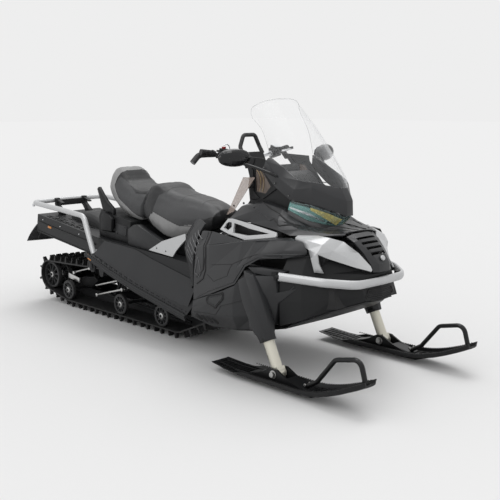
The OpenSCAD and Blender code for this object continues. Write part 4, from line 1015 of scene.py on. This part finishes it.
hose(mesh_bars, traced(cowl, [(-112, 470), (-84, 442), (84, 442), (112, 470), (92, 500), (-92, 500)], 1.0, True, 16,
    on_front), 3.6, True)
for s in (-1, 1):
    for x, y, z in ((168, 300, 552), (276, 212, 545), (-40, 384, 565)):
        block(straps, at(x - 12, s * (y - 14), z), (34, 30, 34), (0, 0, -s * 30))
    rod(straps, at(-66, s * 404, 566), at(-44, s * 401, 566), 15, 20)
piece("grille_bars", tidy(bars), deep_black, "chassis")
piece("badge_blank", tidy(disc, 1.0), silver_paint, "chassis")
piece("nose_mesh", tidy(mesh_bars), deep_black, "chassis")
piece("bumper_mounts", tidy(straps, 3.0), black_plastic, "chassis")
print("front details done")

# %% [markdown]
# ## Cockpit
# Behind the shield sits an instrument pod on the dash plate, between two side frames whose openings are closed by
# smoked panes. The bar carries a master cylinder with its reservoir on the left, and a thumb lever and a stop
# switch on the right.

# %% Pod and panes
pod, glass, panes, ribs = (bmesh.new() for _ in range(4))
profile = [(-340, 1040), (-322, 1074), (-290, 1076), (-248, 1052), (-214, 1010), (-300, 1000)]
plate(pod, [at(x, -96, z) for x, z in profile], Vector((0, 0.192, 0)))
block(pod, at(-352, 0, 1082), (14, 150, 60), (0, -28, 0))
block(glass, at(-359, 0, 1085), (4, 124, 44), (0, -28, 0))
for s in (-1, 1):
    plate(panes, [at(x, s * 181, z) for x, z in ((-442, 1102), (-394, 1098), (-318, 1000), (-360, 953),
        (-432, 962))], Vector((0, s * 0.002, 0)))
    hose(ribs, [at(-428, s * 187.5, 1090), at(-400, s * 187.5, 1050), at(-396, s * 187.5, 1000),
        at(-404, s * 187.5, 970)], 1.4)
    hose(ribs, [at(-412, s * 187.5, 1094), at(-378, s * 187.5, 1050), at(-372, s * 187.5, 1000),
        at(-384, s * 187.5, 964)], 1.4)
    plate(pod, [at(x, s * 187, z) for x, z in ((-488, 1000), (-476, 912), (-400, 930), (-446, 964), (-450, 1080),
        (-470, 1096))], Vector((0, s * 0.006, 0)))
    plate(pod, [at(x, s * 186.2, z) for x, z in ((-540, 1148), (-440, 1146), (-452, 1112), (-500, 1100))],
        Vector((0, s * 0.004, 0)))
for s in (-1, 1):
    plate(pod, [at(x, s * 174, z) for x, z in ((-486, 912), (-262, 1004), (-168, 944), (-196, 880), (-330, 890),
        (-400, 880), (-480, 868))], Vector((0, s * 0.005, 0)))
gold = metallic_coat("pane_lines", (0.30, 0.22, 0.10), 0.35, 0.5)
smoked_pane = clear_sheet("smoked_pane", (0.10, 0.075, 0.06), 0.86, 0.97)
piece("instrument_pod", tidy(pod, 3.0), black_plastic, "chassis")
piece("instrument_glass", tidy(glass, 1.0), black_gloss, "chassis")
piece("console_panes", tidy(panes), smoked_pane, "chassis")
piece("console_pane_lines", tidy(ribs), gold, "chassis")

# %% Bar controls
dark, bright, rubber_bits, alarm = (bmesh.new() for _ in range(4))
def on_bar(s, side, out=(0, 0, 0)):
    """Point at a distance along the bar's outer arm, from its inner bend."""
    a, b = Vector((-656, -130, 1148)), Vector((-684, -262, 1165))
    p = a + (b - a).normalized() * s + Vector(out)
    return at(p.x, p.y * -side, p.z)
for side in (-1, 1):
    rod(dark, on_bar(148, side), on_bar(160, side), 21, 24)
    rod(bright, on_bar(30, side), on_bar(44, side), 15.5, 20)
    for k in range(8):
        rod(rubber_bits, on_bar(166 + 9 * k, side), on_bar(169 + 9 * k, side), 18.4, 20)
block(dark, on_bar(66, 1, (26, 0, 26)), (62, 46, 26), (0, 12, -12))
block(bright, on_bar(66, 1, (26, 0, 40.5)), (56, 40, 4), (0, 12, -12))
rod(dark, on_bar(60, 1, (34, 0, 0)), on_bar(104, 1, (30, 0, -2)), 11, 16)
hose(bright, [on_bar(96, 1, (30, 0, 4)), on_bar(130, 1, (48, 0, 2)), on_bar(190, 1, (46, 0, 0)),
    on_bar(232, 1, (34, 0, -8))], 5.0)
block(dark, on_bar(84, -1, (6, 0, 24)), (44, 34, 22), (0, 8, 12))
rod(alarm, on_bar(84, -1, (6, 0, 34)), on_bar(84, -1, (6, 0, 46)), 11, 20, 13)
hose(bright, [on_bar(96, -1, (-18, 0, -8)), on_bar(122, -1, (-34, 0, -14)), on_bar(150, -1, (-40, 0, -18))], 5.5)
hose(bright, [on_bar(58, -1, (10, 0, 16)), on_bar(52, -1, (14, 0, 44)), on_bar(70, -1, (16, 0, 60)),
    on_bar(92, -1, (14, 0, 54))], 3.2)
for side, s in ((1, 60), (-1, 76)):
    hose(rubber_bits, [on_bar(s, side, (24, 0, 0)), on_bar(s - 40, side, (62, 0, -10)), at(-590, -side * -62, 1118),
        at(-560, -side * -30, 1060), at(-542, -side * -26, 990)], 4.2)
for y in (-34, 34):
    for x in (-664, -630):
        rod(bright, at(x, y, 1158), at(x, y, 1168), 6, 6)
stop_red = moulded("stop_button", (0.20, 0.012, 0.010), 0.35, 900.0, 0.1)
piece("bar_controls", tidy(dark, 2.0), black_plastic, "handlebar_assembly")
piece("bar_levers", tidy(bright, 0.8, 1), bare_alloy, "handlebar_assembly")
piece("bar_grip_rings", tidy(rubber_bits), grip_rubber, "handlebar_assembly")
piece("stop_switch", tidy(alarm, 1.0), stop_red, "handlebar_assembly")
print("cockpit done")

# %% [markdown]
# ## Mirrors, shield edge and screws
# A mirror is a housing with glass set into the rider's side. Along the shield's free edge runs a light grey tube,
# a painted highlight for the bright line the edge shows, and round screw heads hold the clear sheets.

# %% Mirror glass and shield edge highlight
glass, studs = bmesh.new(), bmesh.new()
for s in (-1, 1):
    centre = at(-412, s * 372, 1160)
    turn = Matrix.Rotation(math.radians(14 * s), 4, "Z")
    made = bmesh.ops.create_circle(glass, cap_ends=True, segments=40, radius=1.0,
        matrix=Matrix.Translation(centre) @ turn @ Matrix.Translation((-0.0318, 0,
            0)) @ Matrix.Rotation(math.pi / 2, 4, "Y") @ Matrix.Diagonal((0.036, 0.078, 1, 1)))
bmesh.ops.solidify(glass, geom=glass.faces[:], thickness=0.002)
mirror_glass = brushed("mirror_glass", (0.78, 0.80, 0.82), 0.05, (1.0, 1.0, 1.0))
piece("mirror_glass", tidy(glass), mirror_glass, "chassis")
for s in (-1, 1):
    for x, y, z in ((-352, 208, 1102), (-262, 216, 1022), (-160, 214, 962)):
        rod(studs, at(x, s * y, z), at(x + 2, s * (y + 3.4), z + 1), 6, 14, 5)
    for x, z in ((-470, 900), (-548, 880)):
        rod(studs, at(x, s * 244, z), at(x, s * 249, z), 7, 14, 5.5)
# A light grey translucent tube along the shield's rim: painted highlight for the bright line along its edge.
edge = bmesh.new()
rim = [(-334, -176, 1164), (-382, -186, 1296), (-461, -197, 1412), (-440, -166, 1444), (-404, -86, 1468),
    (-394, 0, 1472)]
hose(edge, [at(*p) for p in rim] + [at(x, -y, z) for x, y, z in rim[-2::-1]], 1.6)
shield_edge_highlight = clear_sheet("shield_edge_highlight", (0.50, 0.51, 0.52), 0.35, 0.9)
piece("shield_rim", tidy(edge), shield_edge_highlight, "chassis")
piece("shield_studs", tidy(studs, 0.6, 1), black_gloss, "chassis")

# %% [markdown]
# ## Skis
# A ski is one ribbed moulding. Its side rails carry rows of small teeth, ribs run under the saddle, and a bolt
# with a nut holds the leg. Everything here tilts and steers with its own ski.

# %% Ski ribs, teeth and bolts
def ski_edge(x):
    """Half width and height of the ski's side rail at station x."""
    half = 82.5 * (1 - 0.44 * max(0.0, (x - 420) / 170)) if x > 420 else 82.5 * (1 - 0.22 * max(0.0,
        (-250 - x) / 200))
    z = 26 + (120 * ((x - 200) / 390) ** 1.7 if x > 200 else 14 * max(0.0, (-300 - x) / 150))
    return half, z + (9 if x < -250 else 26)
for side, body in ((-1, "ski_right"), (1, "ski_left")):
    middle = side * 450
    ribs, bolts = bmesh.new(), bmesh.new()
    for k in range(52):
        x = -238 + 15.5 * k
        half, z = ski_edge(x)
        _, ahead = ski_edge(x + 8)
        lean = -math.degrees(math.atan2(ahead - z, 8))
        for s in (-1, 1):
            block(ribs, at(x, middle + s * (half - 3.5), z + 1.8), (8, 5, 6), (0, lean, 0), 0.5)
    for s in (-1, 1):
        hose(ribs, [at(x, middle + s * (ski_edge(x)[0] * 0.42), ski_edge(x)[1] - (1 if x < -250 else 18) + 2)
            for x in range(-430, 560, 45)], 3.4)
    for k in range(9):
        x = -420 + 26 * k
        half, z = ski_edge(x)
        block(ribs, at(x, middle, z + (1 if x < -250 else -16)), (7, half * 1.5, 5))
    for k in range(7):
        x = 250 + 42 * k
        half, z = ski_edge(x)
        block(ribs, at(x, middle, z - 16), (7, half * 1.4, 5), (0, -14 - 5 * k, 0))
    for s in (-1, 1):
        rod(bolts, at(0, middle + s * 54, 74), at(0, middle + s * 60, 74), 15, 6)
        rod(bolts, at(0, middle + s * 44, 74), at(0, middle + s * 47, 74), 22, 24)
        rod(bolts, at(196, middle + s * 15, 60), at(196, middle + s * 21, 60), 8, 6)
    block(ribs, at(-120, middle, 52), (150, 78, 12), (0, -14, 0), 0.9)
    block(ribs, at(150, middle, 50), (150, 78, 12), (0, 12, 0), 0.9)
    piece(body + "_ribs", tidy(ribs), ski_plastic, body)
    piece(body + "_bolts", tidy(bolts, 0.8, 1), steel, body)

# %% [markdown]
# ## Strut towers
# Each leg turns in a faceted cover that leans back with it, and broad wedges join the cover to the body. The CAD
# towers are plainer, so this shape stands for them: rings of points bridged into a solid, and hulls round each
# wedge's corners.

# %% Covers, wedges and collars
def prism(bm, rings):
    """Closed solid through rings of points."""
    loops = []
    for ring in rings:
        dots = [bm.verts.new(p) for p in ring]
        loops.append([bm.edges.new((dots[k], dots[(k + 1) % len(dots)])) for k in range(len(dots))])
    for low, high in zip(loops, loops[1:]):
        bmesh.ops.bridge_loops(bm, edges=low + high)
    for loop in (loops[0], loops[-1]):
        bmesh.ops.contextual_create(bm, geom=loop)
lean = math.radians(25.5)
up, ahead = Vector((-math.sin(lean), 0, math.cos(lean))), Vector((math.cos(lean), 0, math.sin(lean)))
tower = bmesh.new()
section = [(62, -16), (62, 22), (30, 52), (-40, 50), (-58, 20), (-58, -30), (-30, -46), (34, -44)]
prism(tower, [[at(0, 450, 74) + up * (length / 1000) + ahead * (u * size / 1000) + Vector((0, v * size / 1000, 0))
    for u, v in section]
              for length, size in ((172, 0.74), (206, 0.80), (236, 1.0), (400, 1.1), (480, 1.02), (524, 0.9))])
def wedge(bm, corners, depth):
    """Hull of some outer corners and the same corners set back towards the middle."""
    dots = [bm.verts.new(at(*p)) for x, y, z in corners for p in ((x, y, z), (x, y - depth, z))]
    bmesh.ops.convex_hull(bm, input=dots)
wedge(tower, [(-272, 440, 574), (-178, 460, 560), (-146, 466, 430), (-140, 446, 286), (-236, 430, 252),
    (-262, 432, 420), (-70, 410, 566), (-58, 398, 430), (-84, 396, 300)], 60)
wedge(tower, [(-150, 448, 452), (-140, 440, 398), (-78, 408, 404), (40, 352, 512), (-60, 400, 470)], 26)
wedge(tower, [(-236, 446, 596), (-150, 436, 606), (-20, 384, 596), (-40, 392, 560), (-180, 452, 572)], 30)
piece("strut_towers_cover", both_sides(tidy(tower, 3.0)), charcoal_low, "chassis",
    ("strut_towers",), 30)
legs = bmesh.new()
for s in (-1, 1):
    for low, high, r in ((172, 196, 44), (204, 212, 42)):
        foot = at(0, s * 450, 74)
        rod(legs, foot + up * low / 1000, foot + up * high / 1000, r, 32, r - 3)
piece("strut_collars", tidy(legs, 2.0), black_plastic, "chassis")
print("skis and towers done")

# %% [markdown]
# ## Stage, light and camera
# The sky is one even pale grey and the floor is painted nearly the same, with a soft sun to lift the paint
# towards the sky. Dark plastic shows its folds by what it mirrors, so two wide boxes are added. They are linked
# to the machine alone, because they would whiten the floor near it.

# %% Stage
floor_gap, floor_reach = 0.0004, 60

def floor():
    bm = bmesh.new()
    bmesh.ops.create_grid(bm, x_segments=1, y_segments=1, size=floor_reach)
    mesh = bpy.data.meshes.new("floor")
    bm.to_mesh(mesh)
    bm.free()
    made = placed("floor", mesh)
    made.location.z = cad_low.z - floor_gap
    f = Finish("floor_paint", (0.80, 0.80, 0.80), 0.9)
    f.set("Specular IOR Level", 0.0)
    mesh.materials.append(f.material)
    return made
floor()

world = bpy.data.worlds.new("studio")
world.use_nodes = True
world.node_tree.nodes["Background"].inputs["Color"].default_value = (0.855, 0.855, 0.855, 1)
world.node_tree.nodes["Background"].inputs["Strength"].default_value = 1.0
bpy.context.scene.world = world
bpy.context.scene.view_settings.view_transform = "Standard"

def soft_box(name, place, aim, size, power):
    lamp = bpy.data.lights.new(name, "AREA")
    lamp.shape, lamp.size, lamp.size_y, lamp.energy = "RECTANGLE", size[0], size[1], power
    made = placed(name, lamp)
    made.location = place
    made.rotation_euler = (Vector(aim) - Vector(place)).to_track_quat("-Z", "Y").to_euler()
    return made

sun = placed("sun", bpy.data.lights.new("sun", "SUN"))
sun.data.energy, sun.data.angle = 0.86, math.radians(34)
sun.rotation_euler = (-Vector((-0.35, 0.5, 1.0))).to_track_quat("-Z", "Y").to_euler()
boxes = (soft_box("gloss_top", (0.8, -0.6, 4.2), (0, 0, 0.5), (3.0, 1.6), 60),
             soft_box("gloss_side", (0.8, -4.6, 2.6), (0, 0, 0.6), (3.6, 1.2), 44))

glossed = bpy.data.collections.new("glossed")
for made in bpy.context.scene.objects:
    if made.type == "MESH" and made.name != "floor":
        glossed.objects.link(made)
for box in boxes:
    box.light_linking.receiver_collection = glossed

# %% Camera
lens = bpy.data.cameras.new("camera")
lens.lens, lens.sensor_width = 60.6, 36.0
camera = placed("camera", lens)
camera.location = (3.937, -3.489, 1.443)
camera.rotation_euler = (Vector((0.391, 0, 0.581)) - camera.location).to_track_quat("-Z", "Y").to_euler()
bpy.context.scene.camera = camera
